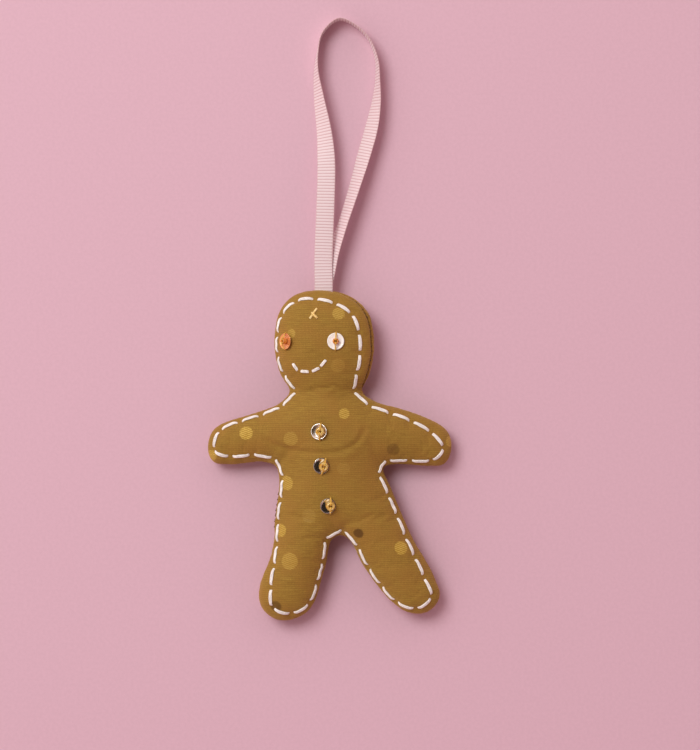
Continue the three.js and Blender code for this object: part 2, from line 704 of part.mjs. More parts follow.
// Middle line of the free ribbon from the hinge: x, y, height above the surface, and how far the
// outer face is turned from lying face up (0) over standing on edge (90) to face down (180)
const RIBBON_ROUTE = [
  [-0.1, 9, 7.2, 0],
  [0.6, 28, 6.7, 4],
  [0.9, 42.5, 5.8, 10],
  [0.2, 53.2, 4.9, 33],
  [-1.8, 66.5, 4.1, 58],
  [-2.7, 75, 3.6, 76],
  [-2.2, 82, 3.4, 86],
  [-0.4, 88.8, 3.3, 90],
  [5.3, 93.6, 3.3, 90],
  [11.6, 91, 3.3, 90],
  [16.1, 86.2, 3.3, 92],
  [18.6, 79.2, 3.4, 98],
  [18.9, 71.6, 3.5, 105],
  [18.5, 65, 3.6, 118],
  [16.8, 55.4, 4.2, 135],
  [14.2, 46, 4.4, 137],
  [10.3, 32.7, 4.8, 126],
  [5.8, 19, 5.2, 124],
  [2.4, 9.5, 5.4, 144],
];

const KNUCKLE_SIDES = 12;

function ribbonGeometry() {
  const points = RIBBON_ROUTE.map(([x, y, z]) => new THREE.Vector3(hinge.x + x, hinge.y + y, z));
  const turns = RIBBON_ROUTE.map(([, , , angle]) => angle);
  const start = hinge.clone().setZ(hinge.z + strandOffset);
  const end = hinge.clone().setZ(hinge.z - strandOffset);
  const path = new THREE.CatmullRomCurve3([start, ...points, end], false, 'centripetal');
  const turnPoints = [0, ...turns, 180].map((angle) => new THREE.Vector3(angle, 0, 0));
  const turnCurve = new THREE.CatmullRomCurve3(turnPoints, false, 'catmullrom');
  const loops = Array.from({ length: RIBBON_STEPS + 1 }, (unused, i) => {
    const share = path.getUtoTmapping(i / RIBBON_STEPS);
    const tangent = path.getTangent(share);
    const outward = UP.clone().cross(tangent).normalize();
    const angle = turn(turnCurve.getPoint(share).x);
    const face = outward.multiplyScalar(Math.sin(angle)).addScaledVector(UP, Math.cos(angle));
    const across = tangent.clone().cross(face).normalize();
    face.copy(across).cross(tangent);
    const corner = (w, t) => path.getPoint(share)
      .addScaledVector(across, w * RIBBON_WIDTH / 2)
      .addScaledVector(face, t * RIBBON_THICKNESS / 2);
    return [corner(-1, -1), corner(1, -1), corner(1, 1), corner(-1, 1)];
  });
  const breadth = RIBBON_WIDTH - GAP;
  const knuckle = new THREE.CylinderGeometry(knuckleRadius, knuckleRadius, breadth, KNUCKLE_SIDES);
  knuckle.rotateZ(Math.PI / 2).translate(hinge.x, hinge.y, hinge.z);
  return geometryOf(solidOf(loft(loops, fanFaces)).add(solidOf(knuckle)));
}

// Assembly

const ornament = new THREE.Group();
const figure = new THREE.Group();
const ribbon = new THREE.Group();
ornament.add(figure, ribbon);

function addPiece(group, name, geometry, color, roughness, metalness = 0) {
  const material = new THREE.MeshStandardMaterial({ color, roughness, metalness });
  const mesh = new THREE.Mesh(geometry, material);
  mesh.name = name;
  group.add(mesh);
}

const outline = runningStitch();
const smile = smileStitch();
const cross = crossStitch();
const places = sequins.map(sequinPlace);
const beadHoles = places.map((place) => threadHoles().applyMatrix4(place));
const beadRoom = places.map((place) => (
  solidOf(beadThreadGeometry(BEAD_THREAD / 2 + NEEDLE_CLEARANCE).applyMatrix4(place))
));

const slot = solidOf(ribbonSlot());
const needleHoles = merged([outline.holes, smile.holes, cross.holes, ...beadHoles]);
const frontPanel = solidOf(frontForm).subtract(solidOf(needleHoles)).subtract(slot);
const backPanel = solidOf(backForm).subtract(slot);

let stuffing = solidOf(stuffingGeometry()).subtract(solidOf(smile.room)).subtract(solidOf(cross.room));
for (const room of beadRoom) stuffing = stuffing.subtract(room);
const pads = [
  { name: 'head_stuffing', block: headBlock },
  { name: 'left_arm_stuffing', block: (start) => limbBlock(leftArm, start, ARM_SIDE, ARM_SIDE) },
  { name: 'right_arm_stuffing', block: (start) => limbBlock(rightArm, start, ARM_SIDE, ARM_SIDE) },
  { name: 'left_leg_stuffing', block: (start) => limbBlock(leftLeg, start, LEG_OUTSIDE, LEG_INSIDE) },
  { name: 'right_leg_stuffing', block: (start) => limbBlock(rightLeg, start, LEG_INSIDE, LEG_OUTSIDE) },
];

addPiece(figure, 'back_panel', geometryOf(backPanel), KHAKI, 0.8);
addPiece(figure, 'front_panel', geometryOf(frontPanel), KHAKI, 0.8);
let trunk = stuffing;
for (const { name, block } of pads) {
  addPiece(figure, name, geometryOf(stuffing.intersect(block(GAP))), POLYESTER, 1);
  trunk = trunk.subtract(block(0));
}
addPiece(figure, 'trunk_stuffing', geometryOf(trunk), POLYESTER, 1);
addPiece(figure, 'outline_stitching', outline.geometry, WHITE, 0.7);
addPiece(figure, 'smile_stitching', smile.geometry, WHITE, 0.7);
addPiece(figure, 'forehead_cross_stitch', cross.geometry, GOLD, 0.6);
sequins.forEach(({ name, colour }, i) => {
  const place = places[i];
  addPiece(figure, `${name}_sequin`, sequinGeometry().applyMatrix4(place), colour, 0.25, 0.6);
  addPiece(figure, `${name}_bead`, beadGeometry().applyMatrix4(place), AMBER, 0.15);
  addPiece(figure, `${name}_thread`, beadThreadGeometry(BEAD_THREAD / 2).applyMatrix4(place), AMBER, 0.6);
});

addPiece(ribbon, 'ribbon_front_end', tailGeometry(1), PINK, 0.7);
addPiece(ribbon, 'ribbon_back_end', tailGeometry(-1), PINK, 0.7);
addPiece(ribbon, 'ribbon_loop', ribbonGeometry(), PINK, 0.7);

// The middle of the figure goes to the origin
const box = new THREE.Box3().setFromObject(figure, true);
const middle = box.getCenter(new THREE.Vector3());
ornament.position.set(-middle.x, -middle.y, 0);

export default ornament;
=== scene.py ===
# %% [markdown]
# # A stuffed gingerbread man on a ribbon
# The ornament is two pieces of cotton sewn together round the edge, turned and stuffed.
# White floss runs round the front, sequins and glass beads make the eyes and buttons, and a
# loop of grosgrain ribbon comes out of the crown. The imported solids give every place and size.
# This notebook makes the cloth, thread, ribbon and glass that stand for them.

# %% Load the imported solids
import json
import math

import bmesh
import bpy
import numpy as np
from mathutils import Matrix, Vector, noise
from mathutils.bvhtree import BVHTree


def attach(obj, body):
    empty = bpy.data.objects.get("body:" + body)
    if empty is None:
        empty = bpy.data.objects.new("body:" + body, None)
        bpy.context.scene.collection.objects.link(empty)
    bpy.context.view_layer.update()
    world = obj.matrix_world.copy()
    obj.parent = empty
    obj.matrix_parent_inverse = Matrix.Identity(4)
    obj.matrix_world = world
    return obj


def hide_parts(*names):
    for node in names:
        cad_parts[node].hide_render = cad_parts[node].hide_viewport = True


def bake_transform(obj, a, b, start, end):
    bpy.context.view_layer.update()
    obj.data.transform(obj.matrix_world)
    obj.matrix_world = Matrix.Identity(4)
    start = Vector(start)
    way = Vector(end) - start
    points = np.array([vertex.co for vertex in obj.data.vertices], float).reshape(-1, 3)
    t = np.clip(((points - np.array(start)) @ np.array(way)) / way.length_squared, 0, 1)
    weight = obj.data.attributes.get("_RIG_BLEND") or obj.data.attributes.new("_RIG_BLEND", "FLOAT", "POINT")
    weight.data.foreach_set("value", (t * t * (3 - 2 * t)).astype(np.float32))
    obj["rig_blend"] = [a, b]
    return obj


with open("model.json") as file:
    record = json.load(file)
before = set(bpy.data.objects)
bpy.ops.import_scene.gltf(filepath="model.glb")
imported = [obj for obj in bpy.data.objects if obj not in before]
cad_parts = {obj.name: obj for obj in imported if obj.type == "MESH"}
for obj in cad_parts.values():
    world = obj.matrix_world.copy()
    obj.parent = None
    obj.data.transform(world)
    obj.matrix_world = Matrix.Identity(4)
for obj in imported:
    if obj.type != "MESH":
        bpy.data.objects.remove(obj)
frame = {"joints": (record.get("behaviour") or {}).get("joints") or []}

scene = bpy.context.scene
scene.view_settings.view_transform = "Standard"
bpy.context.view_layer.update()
MM = 0.001
UP = np.array([0.0, 0.0, 1.0])

# %% [markdown]
# ## Camera
# The ornament lies on a table and was photographed from straight above. A long lens from far
# away keeps the sides of the padding out of sight, as in the photograph. The picture's height
# on the table is known, so the lens follows from the distance.

# %% Camera above the table
PICTURE_MIDDLE = (7.45, 27.9)
PICTURE_HEIGHT = 262.5
CAMERA_HEIGHT = 900
SEEN_HEIGHT = 8
camera = bpy.data.objects.new("camera", bpy.data.cameras.new("camera"))
camera.location = (PICTURE_MIDDLE[0] * MM, PICTURE_MIDDLE[1] * MM, CAMERA_HEIGHT * MM)
camera.data.lens = camera.data.sensor_width * (CAMERA_HEIGHT - SEEN_HEIGHT) / PICTURE_HEIGHT
camera.data.clip_start = 0.01
scene.collection.objects.link(camera)
scene.camera = camera
print("lens", round(camera.data.lens, 1), "mm")

# %% [markdown]
# ## Helpers for curves and pieces
# Ribbon, seam and folds all follow smooth lines through a few measured points. A centripetal
# Catmull-Rom curve goes through each point and doesn't overshoot in tight bends. Shapes are
# worked out in millimetres and scaled to metres when they become pieces.

# %% Smooth lines through points


def curve_through(points, closed=False, per_span=16):
    """Points along a smooth line through the given ones, equally many in each span."""
    points = [np.array(p, float) for p in points]
    if closed:
        chain = [points[-1], *points, points[0], points[1]]
    else:
        chain = [2 * points[0] - points[1], *points, 2 * points[-1] - points[-2]]
    s = np.linspace(0, 1, per_span, endpoint=False)[:, None]
    spans = []
    for a, b, c, d in zip(chain, chain[1:], chain[2:], chain[3:]):
        before, here, after = (
            max(np.linalg.norm((q - p)[:3]), 1e-9) ** 0.5 for p, q in ((a, b), (b, c), (c, d))
        )
        leave = ((b - a) / before - (c - a) / (before + here) + (c - b) / here) * here
        reach = ((c - b) / here - (d - b) / (here + after) + (d - c) / after) * here
        spans.append(
            (2 * s**3 - 3 * s**2 + 1) * b
            + (s**3 - 2 * s**2 + s) * leave
            + (3 * s**2 - 2 * s**3) * c
            + (s**3 - s**2) * reach
        )
    if not closed:
        spans.append(points[-1][None, :])
    return np.concatenate(spans)


def run_of(points):
    """Distance along a row of points, from its first one."""
    steps = np.linalg.norm(np.diff(points[:, :3], axis=0), axis=1)
    return np.concatenate([[0.0], np.cumsum(steps)])


def at_runs(points, runs):
    """Points at the given distances along a row of points."""
    known = run_of(points)
    return np.column_stack([np.interp(runs, known, column) for column in points.T])


def unit(vectors):
    return vectors / np.linalg.norm(vectors, axis=-1, keepdims=True)


# %% Making a mesh a piece


def add_piece(name, mesh, finish, replaces=(), body="figure"):
    """The mesh becomes a smooth piece of the ornament that rides on a body."""
    obj = bpy.data.objects.new(name, mesh)
    scene.collection.objects.link(obj)
    mesh.materials.clear()
    mesh.materials.append(finish)
    mesh.shade_smooth()
    if body:
        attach(obj, body)
    if replaces:
        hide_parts(*replaces)
    print(name, len(mesh.polygons), "faces")
    return obj


def mesh_of(bm, name):
    """A mesh in metres from a bmesh in millimetres."""
    bmesh.ops.scale(bm, vec=(MM, MM, MM), verts=bm.verts)
    mesh = bpy.data.meshes.new(name)
    bm.to_mesh(mesh)
    bm.free()
    return mesh


def finished_mesh(maker):
    """The mesh that an object shows with its modifiers or bevel. The object itself goes."""
    seen = maker.evaluated_get(bpy.context.evaluated_depsgraph_get())
    mesh = bpy.data.meshes.new_from_object(seen)
    bpy.data.objects.remove(maker)
    return mesh


def extrude_ring(bm, edges):
    """A ring of points extruded from a ring of edges, and the edges round the new ring."""
    grown = bmesh.ops.extrude_edge_only(bm, edges=edges)["geom"]
    verts = [g for g in grown if isinstance(g, bmesh.types.BMVert)]
    fresh = set(verts)
    edges = [g for g in grown if isinstance(g, bmesh.types.BMEdge)]
    return verts, [e for e in edges if e.verts[0] in fresh and e.verts[1] in fresh]


def strands_mesh(name, paths, radius):
    """Round strands, one along each path of points in millimetres."""
    curve = bpy.data.curves.new(name, "CURVE")
    curve.dimensions = "3D"
    curve.bevel_depth = radius * MM
    curve.bevel_resolution = 1
    curve.use_fill_caps = True
    for path in paths:
        spline = curve.splines.new("POLY")
        spline.points.add(len(path) - 1)
        for point, place in zip(spline.points, path):
            point.co = (*(np.array(place) * MM), 1)
    maker = bpy.data.objects.new(name + "_line", curve)
    scene.collection.objects.link(maker)
    mesh = finished_mesh(maker)
    mesh.name = name
    return mesh


def add_strands(name, paths, radius, finish, replaces=()):
    """Round strands along paths become one piece."""
    return add_piece(name, strands_mesh(name, paths, radius), finish, replaces)


# %% [markdown]
# ## Finishes
# Every finish is built from nodes. Weave and thread are too fine to model, so they are a
# height for a bump and a small change of colour. The groups put out masks and heights only,
# and each material keeps its own shader.

# %% Node helpers


def srgb(red, green, blue):
    """A colour read off the photograph, as the linear colour that a shader takes."""
    def linear(value):
        value /= 255
        return value / 12.92 if value <= 0.04045 else ((value + 0.055) / 1.055) ** 2.4

    return (linear(red), linear(green), linear(blue), 1.0)


class Nodes:
    """Short ways to add and join nodes in one tree."""

    def __init__(self, tree):
        self.tree = tree

    def feed(self, node, values):
        """Links sockets to a node's inputs and sets plain values on them."""
        for key, value in values.items():
            if isinstance(value, bpy.types.NodeSocket):
                self.tree.links.new(value, node.inputs[key])
            else:
                node.inputs[key].default_value = value
        return node

    def add(self, kind, values=None, **settings):
        node = self.tree.nodes.new(kind)
        for key, value in settings.items():
            setattr(node, key, value)
        return self.feed(node, values or {})

    def attribute(self, name, output="Fac"):
        return self.add("ShaderNodeAttribute", attribute_name=name).outputs[output]

    def object_place(self):
        return self.add("ShaderNodeTexCoord").outputs["Object"]

    def bump(self, height, strength, distance):
        values = {"Strength": strength, "Distance": distance, "Height": height}
        return self.add("ShaderNodeBump", values).outputs[0]

    def math(self, operation, a, b=0.0, c=0.0):
        return self.add("ShaderNodeMath", {0: a, 1: b, 2: c}, operation=operation).outputs[0]

    def smooth(self, value, low, high, to_low=0.0, to_high=1.0):
        values = {"Value": value, "From Min": low, "From Max": high}
        values.update({"To Min": to_low, "To Max": to_high})
        return self.add("ShaderNodeMapRange", values, interpolation_type="SMOOTHSTEP").outputs[0]

    def mix(self, share, a, b):
        values = {"Factor": share, 6: a, 7: b}
        return self.add("ShaderNodeMix", values, data_type="RGBA").outputs[2]

    def noise(self, vector, scale, detail=2.0, roughness=0.5):
        values = {"Vector": vector, "Scale": scale, "Detail": detail, "Roughness": roughness}
        return self.add("ShaderNodeTexNoise", values).outputs["Fac"]

    def stretched(self, vector, scale):
        values = {"Vector": vector, "Scale": scale}
        return self.add("ShaderNodeMapping", values).outputs[0]


def new_finish(name):
    """An empty material with a Principled shader, and its node helpers."""
    material = bpy.data.materials.new(name)
    material.use_nodes = True
    nodes = Nodes(material.node_tree)
    return material, nodes, material.node_tree.nodes["Principled BSDF"]


def new_group(name, inputs, outputs):
    """A shader node group with named sockets: (name, type, default)."""
    tree = bpy.data.node_groups.new(name, "ShaderNodeTree")
    for label, kind, value in inputs:
        socket = tree.interface.new_socket(name=label, in_out="INPUT", socket_type=kind)
        if value is not None:
            socket.default_value = value
    for label, kind in outputs:
        tree.interface.new_socket(name=label, in_out="OUTPUT", socket_type=kind)
    nodes = Nodes(tree)
    return tree, nodes, nodes.add("NodeGroupInput").outputs, nodes.add("NodeGroupOutput")


# %% [markdown]
# Plain weave: each warp thread goes over one weft thread and under the next. Two rounded
# profiles, one across and one along, take turns on a chequer. Slubs are noise drawn out along
# the weft, which gives the cloth its fine level streaks.

# %% Plain weave group
weave_group, n, inp, out = new_group(
    "plain_weave",
    [
        ("Cloth", "NodeSocketVector", None),
        ("Warp", "NodeSocketFloat", 0.5),
        ("Weft", "NodeSocketFloat", 0.74),
    ],
    [("Height", "NodeSocketFloat"), ("Slub", "NodeSocketFloat"), ("Crown", "NodeSocketFloat")],
)
place = n.add("ShaderNodeSeparateXYZ", {0: inp["Cloth"]}).outputs
warp = n.math("DIVIDE", place[0], inp["Warp"])
weft = n.math("DIVIDE", place[1], inp["Weft"])
parity = n.math("ADD", n.math("FLOOR", warp), n.math("FLOOR", weft))
over = n.math("PINGPONG", parity, 1.0)
across = n.math("ABSOLUTE", n.math("SINE", n.math("MULTIPLY", warp, math.pi)))
along = n.math("ABSOLUTE", n.math("SINE", n.math("MULTIPLY", weft, math.pi)))
warp_top = n.math("MULTIPLY", across, n.math("MULTIPLY_ADD", along, 0.4, 0.6))
weft_top = n.math("MULTIPLY", along, n.math("MULTIPLY_ADD", across, 0.3, 0.7))
height = n.add("ShaderNodeMix", {"Factor": over, 2: weft_top, 3: warp_top}).outputs[0]
streaks = n.noise(n.stretched(inp["Cloth"], (0.25, 1.5, 1.0)), 1.0, 3.0, 0.6)
uneven = n.math("MULTIPLY_ADD", streaks, 0.5, height)
n.feed(out, {"Height": uneven, "Slub": streaks, "Crown": height})
print("weave group with", len(weave_group.nodes), "nodes")

# %% [markdown]
# Cotton cloth: khaki with satin dots woven in, some darker. The places on the cloth and the
# distance to the nearest dot come from the piece's own attributes, so they turn over the edge
# with the cloth as the real pattern does. The dots are floats of thread in twill lines.

# %% Khaki ground of the cloth
KHAKI, LIGHT_KHAKI, WORN_KHAKI = srgb(152, 116, 43), srgb(171, 135, 53), srgb(165, 122, 49)
WEAVE_HOLLOW_SHADE, SPECK = srgb(110, 79, 28), srgb(126, 90, 28)
cloth_finish, n, shader = new_finish("khaki_cotton")
cloth_place = n.attribute("cloth", "Vector")
weave = n.add("ShaderNodeGroup", {"Cloth": cloth_place}, node_tree=weave_group).outputs
broad = n.noise(cloth_place, 0.09, 2.0)
slubs = n.smooth(weave["Slub"], 0.3, 0.7)
ground = n.mix(slubs, KHAKI, LIGHT_KHAKI)
ground = n.mix(n.smooth(broad, 0.35, 0.68), ground, WORN_KHAKI)
# Low places of the weave get a darker khaki: painted shade between the threads.
ground = n.mix(n.smooth(weave["Crown"], 0.1, 0.75, 0.55, 0.0), ground, WEAVE_HOLLOW_SHADE)
speckle = n.smooth(n.noise(cloth_place, 2.8, 3.0, 0.75), 0.4, 0.62, 0.42, 0.0)
ground = n.mix(speckle, ground, SPECK)
print("khaki ground with", len(n.tree.nodes), "nodes")

# %% Dots and the painted shadow in the seam
DOT_RADIUS = 2.45
TWILL, TWILL_SLOPE = 9.0, 0.35
SEAM_SHADE = 0.6
SATIN, LIGHT_SATIN = srgb(166, 127, 38), srgb(204, 170, 76)
DARK_DOT, SEAM_GROOVE_SHADOW = srgb(86, 54, 12), srgb(66, 41, 12)
ragged = n.math("MULTIPLY_ADD", n.noise(cloth_place, 2.2, 2.0), 0.7, -0.35)
gold_far = n.math("ADD", n.attribute("gold_dot"), ragged)
dark_far = n.math("ADD", n.attribute("dark_dot"), ragged)
gold = n.smooth(gold_far, DOT_RADIUS - 0.25, DOT_RADIUS + 0.25, 1.0, 0.0)
dark = n.smooth(dark_far, DOT_RADIUS - 0.6, DOT_RADIUS + 0.3, 1.0, 0.0)
place = n.add("ShaderNodeSeparateXYZ", {0: cloth_place}).outputs
lines = n.math("MULTIPLY_ADD", place[0], TWILL_SLOPE, place[1])
lines = n.math("MULTIPLY_ADD", ragged, 0.8, lines)
twill = n.math("SINE", n.math("MULTIPLY", lines, TWILL))
satin = n.mix(n.smooth(twill, -0.9, 0.9), SATIN, LIGHT_SATIN)
ground = n.mix(n.math("MULTIPLY", gold, n.attribute("dot_shine")), ground, satin)
ground = n.mix(n.math("MULTIPLY", dark, n.attribute("dot_darkness")), ground, DARK_DOT)
# Near the seam the cloth is darkened: painted shadow in the groove, with its needle holes.
seam_shadow = n.smooth(n.attribute("seam_far"), SEAM_SHADE / 3, SEAM_SHADE, 0.65, 0.0)
ground = n.mix(seam_shadow, ground, SEAM_GROOVE_SHADOW)
n.feed(shader, {
    "Base Color": ground,
    "Roughness": n.math("MULTIPLY_ADD", gold, -0.22, 0.78),
    "Normal": n.bump(weave["Height"], 0.5, 0.15 * MM),
    "Specular IOR Level": 0.25,
    "Sheen Weight": 0.45,
    "Sheen Roughness": 0.45,
    "Sheen Tint": (1.0, 0.7, 0.3, 1.0),
})
print("cloth finish with", len(n.tree.nodes), "nodes")

# %% [markdown]
# Thread and floss: cotton or rayon fibres with a fine fibre bump. One helper makes all the
# threads, with its own two colours and gloss for each.

# %% Threads


def thread_finish(name, low, high, roughness, sheen):
    """Twisted fibre in two near colours."""
    material, n, shader = new_finish(name)
    place = n.object_place()
    fibres = n.noise(place, 2600.0, 3.0, 0.65)
    soft = n.noise(place, 420.0, 2.0)
    tone = n.math("MULTIPLY_ADD", soft, 0.5, n.math("MULTIPLY", fibres, 0.5))
    n.feed(shader, {
        "Base Color": n.mix(n.smooth(tone, 0.34, 0.66), low, high),
        "Roughness": n.smooth(fibres, 0.3, 0.7, roughness - 0.08, roughness + 0.08),
        "Normal": n.bump(fibres, 0.4, 0.06 * MM),
        "Sheen Weight": sheen,
    })
    return material


white_floss = thread_finish("white_floss", srgb(226, 219, 213), srgb(250, 246, 240), 0.62, 0.2)
gold_floss = thread_finish("gold_floss", srgb(226, 186, 98), srgb(255, 236, 174), 0.42, 0.15)
amber_thread = thread_finish("amber_thread", srgb(204, 148, 36), srgb(238, 202, 92), 0.4, 0.15)
brown_thread = thread_finish("brown_thread", srgb(54, 30, 14), srgb(88, 52, 24), 0.6, 0.1)
print("threads", [m.name for m in (white_floss, gold_floss, amber_thread, brown_thread)])

# %% [markdown]
# Grosgrain: thick weft cords inside a fine warp. The cords are modelled on the ribbon. Each
# point's height on its cord sets its colour: painted highlight on crests, painted shade in grooves.

# %% Grosgrain
ribbon_finish, n, shader = new_finish("pink_grosgrain")
fibre = n.noise(n.object_place(), 3200.0, 2.0, 0.6)
# Pale crests and darker pink grooves are a painted highlight and painted shade on the cords.
tone = n.math("MULTIPLY_ADD", n.math("SUBTRACT", fibre, 0.5), 0.5, n.attribute("crest"))
n.feed(shader, {
    "Base Color": n.mix(n.smooth(tone, 0.1, 0.95), srgb(197, 156, 158), srgb(227, 208, 208)),
    "Roughness": n.smooth(fibre, 0.3, 0.7, 0.5, 0.66),
    "Normal": n.bump(fibre, 0.35, 0.05 * MM),
    "Sheen Weight": 0.15,
})
print("ribbon finish with", len(n.tree.nodes), "nodes")

# %% [markdown]
# Sequins are stamped from thin film with a metal or pearl coat, and the beads are pressed
# glass. Fine scuffs break up their gloss.

# %% Sequins and beads


def sequin_finish(name, colour, scuffed, metallic, roughness, coat):
    """Thin coated film with faint scuffs."""
    material, n, shader = new_finish(name)
    place = n.object_place()
    cloudy = n.noise(place, 900.0, 3.0, 0.6)
    fine = n.noise(n.stretched(place, (1.0, 6.0, 1.0)), 2400.0, 2.0)
    n.feed(shader, {
        "Base Color": n.mix(n.smooth(cloudy, 0.4, 0.75), colour, scuffed),
        "Roughness": n.math("MULTIPLY_ADD", fine, 0.16, roughness),
        "Metallic": metallic,
        "Coat Weight": coat,
        "Coat Roughness": 0.08,
    })
    return material


silver_film = sequin_finish("silver_film", srgb(222, 216, 210), srgb(204, 196, 188), 1.0, 0.04, 0.2)
worn_silver_film = sequin_finish(
    "worn_silver_film", srgb(214, 204, 196), srgb(190, 178, 168), 1.0, 0.2, 0.2
)
pearl_film = sequin_finish("pearl_film", srgb(254, 250, 243), srgb(246, 240, 230), 0.0, 0.2, 0.5)
copper_film = sequin_finish("copper_film", srgb(244, 176, 108), srgb(230, 142, 70), 0.55, 0.14, 0.5)


def glass_finish(name, light, deep, clear):
    """Pressed glass with a swirl of deeper colour."""
    material, n, shader = new_finish(name)
    swirl = n.smooth(n.noise(n.object_place(), 700.0, 2.0), 0.35, 0.7)
    n.feed(shader, {
        "Base Color": n.mix(swirl, light, deep),
        "Roughness": n.smooth(swirl, 0.0, 1.0, 0.06, 0.14),
        "Transmission Weight": clear,
        "IOR": 1.52,
    })
    return material


amber_glass = glass_finish("amber_glass", srgb(232, 150, 54), srgb(204, 112, 30), 0.2)
pale_glass = glass_finish("pale_amber_glass", srgb(252, 222, 136), srgb(238, 178, 56), 0.4)
print("films", silver_film.name, pearl_film.name, copper_film.name, "and", pale_glass.name)

# %% [markdown]
# ## Ribbon
# The ribbon is one length, 6.4 mm wide, with both ends sewn into the crown. It lies face up
# over the head, turns on edge round the top of the loop and comes back face down. A flat
# section is carried along its line, ring by ring. Its thickness swells over each cord.

# %% The ribbon's line
HINGE = [x / MM for x in frame["joints"][0]["pos_m"]]
HINGE_ABOVE_CROWN = 1.45
CROWN_Y = HINGE[1] - HINGE_ABOVE_CROWN
RIBBON_WIDTH = 6.4
STRAND_OFFSET = 0.35
RIBBON_TAIL = 2.8
# From the hinge: x, y, height above the table, and the turn from face up to face down
RIBBON_ROUTE = [
    (-0.1, 9, 7.2, 0), (0.6, 28, 6.7, 4), (0.9, 42.5, 5.8, 10), (0.2, 53.2, 4.9, 33),
    (-1.8, 66.5, 4.1, 58), (-2.7, 75, 3.6, 76), (-2.2, 82, 3.4, 86), (-0.4, 88.8, 3.3, 90),
    (5.3, 93.6, 3.3, 90), (11.6, 91, 3.3, 90), (16.1, 86.2, 3.3, 92), (18.6, 79.2, 3.4, 98),
    (18.9, 71.6, 3.5, 105), (18.5, 65, 3.6, 118), (16.8, 55.4, 4.2, 135), (14.2, 46, 4.4, 137),
    (10.3, 32.7, 4.8, 126), (5.8, 19, 5.2, 124), (2.4, 9.5, 5.4, 144),
]
top_z, under_z = HINGE[2] + STRAND_OFFSET, HINGE[2] - STRAND_OFFSET
tail_y = CROWN_Y - RIBBON_TAIL
ribbon_points = [(HINGE[0], tail_y, top_z, 0), (HINGE[0], HINGE[1], top_z, 0)]
ribbon_points += [(HINGE[0] + x, HINGE[1] + y, z, angle) for x, y, z, angle in RIBBON_ROUTE]
ribbon_points += [(HINGE[0], HINGE[1], under_z, 180), (HINGE[0], tail_y, under_z, 180)]
ribbon_line = curve_through(ribbon_points, per_span=24)
ribbon_length = run_of(ribbon_line)[-1]
print("ribbon", round(ribbon_length, 1), "mm with both ends")

# %% Grosgrain section and cords
CORD_PITCH = 1.06
CORD_STEPS = (0.0, 0.2, 0.5, 0.8)
CORD_CREST = (0.0, 0.8, 1.0, 0.8)
THIN, CORD = 0.13, 0.09
# Across the ribbon in shares of its half width, with how far the cords show there
SECTION = [(-1.0, 0.0), (-0.97, 0.35), (-0.92, 0.5), (-0.86, 0.9), (-0.4, 1.0), (0.0, 1.0)]
SECTION += [(-share, shown) for share, shown in SECTION[-2::-1]]

cord_count = round(ribbon_length / CORD_PITCH)
runs, crests = [], []
for cord in range(cord_count):
    for step, crest in zip(CORD_STEPS, CORD_CREST):
        runs.append((cord + step) / cord_count * ribbon_length)
        crests.append(crest)
stations = at_runs(ribbon_line, np.array(runs))
tangents = unit(np.gradient(stations[:, :3], axis=0))
turns = np.radians(stations[:, 3])[:, None]
outward = unit(np.cross(UP, tangents))
faces_to = outward * np.sin(turns) + UP * np.cos(turns)
across = unit(np.cross(tangents, faces_to))
faces_to = unit(np.cross(across, tangents))
print(cord_count, "cords,", len(stations), "rings of", 2 * len(SECTION) - 2)

# %% One ring of the ribbon
EDGE_WAVE = 0.025
# Where the cords flatten at the selvedge, the painted highlight is weaker.
SELVEDGE_HIGHLIGHT = 0.35


def ribbon_ring(i):
    """The section at one station, over the top and back under, with each point's share of painted highlight.
    """
    crest = crests[i]
    edge = 1.0 + EDGE_WAVE * (crest - 0.5)
    ring = []
    for side, row in ((1, SECTION), (-1, SECTION[-2:0:-1])):
        for share, shown in row:
            thick = 0.0 if abs(share) == 1.0 else THIN + CORD * crest * shown
            place = stations[i, :3] + across[i] * share * edge * RIBBON_WIDTH / 2
            tone = crest * (SELVEDGE_HIGHLIGHT + (1 - SELVEDGE_HIGHLIGHT) * shown)
            ring.append((place + faces_to[i] * side * thick, tone))
    return ring


# %% The ribbon ring by ring
bm = bmesh.new()
crest_layer = bm.verts.layers.float.new("crest")
index_layer = bm.verts.layers.int.new("index")


def set_ring(verts, ring):
    for vert in verts:
        vert.co, vert[crest_layer] = ring[vert[index_layer]]


sides = 2 * len(SECTION) - 2
first = bmesh.ops.create_circle(bm, segments=sides, radius=1.0)["verts"]
for k, vert in enumerate(first):
    vert[index_layer] = k
set_ring(first, ribbon_ring(0))
edges = list(bm.edges)
bmesh.ops.contextual_create(bm, geom=edges)
for i in range(1, len(stations)):
    ring_verts, edges = extrude_ring(bm, edges)
    set_ring(ring_verts, ribbon_ring(i))
bmesh.ops.contextual_create(bm, geom=edges)
bmesh.ops.recalc_face_normals(bm, faces=bm.faces)
ribbon_mesh = mesh_of(bm, "ribbon")
ribbon = add_piece(
    "ribbon", ribbon_mesh, ribbon_finish,
    ("ribbon_loop", "ribbon_front_end", "ribbon_back_end"), body=None,
)
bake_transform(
    ribbon, "figure", "ribbon",
    start=(HINGE[0] * MM, (CROWN_Y - 0.4) * MM, HINGE[2] * MM),
    end=(HINGE[0] * MM, (HINGE[1] + 2.4) * MM, HINGE[2] * MM),
)

# %% [markdown]
# ## Padded figure
# The two cloth pieces are cut from one paper pattern, so the pattern comes first: points on
# the seam, each with the middle of the padding that it belongs to. A rib of cloth swells from
# the seam up to that middle in a quarter ellipse, in front and behind. The figure could be
# sculpted instead, but a pattern keeps its sizes as a few named values.

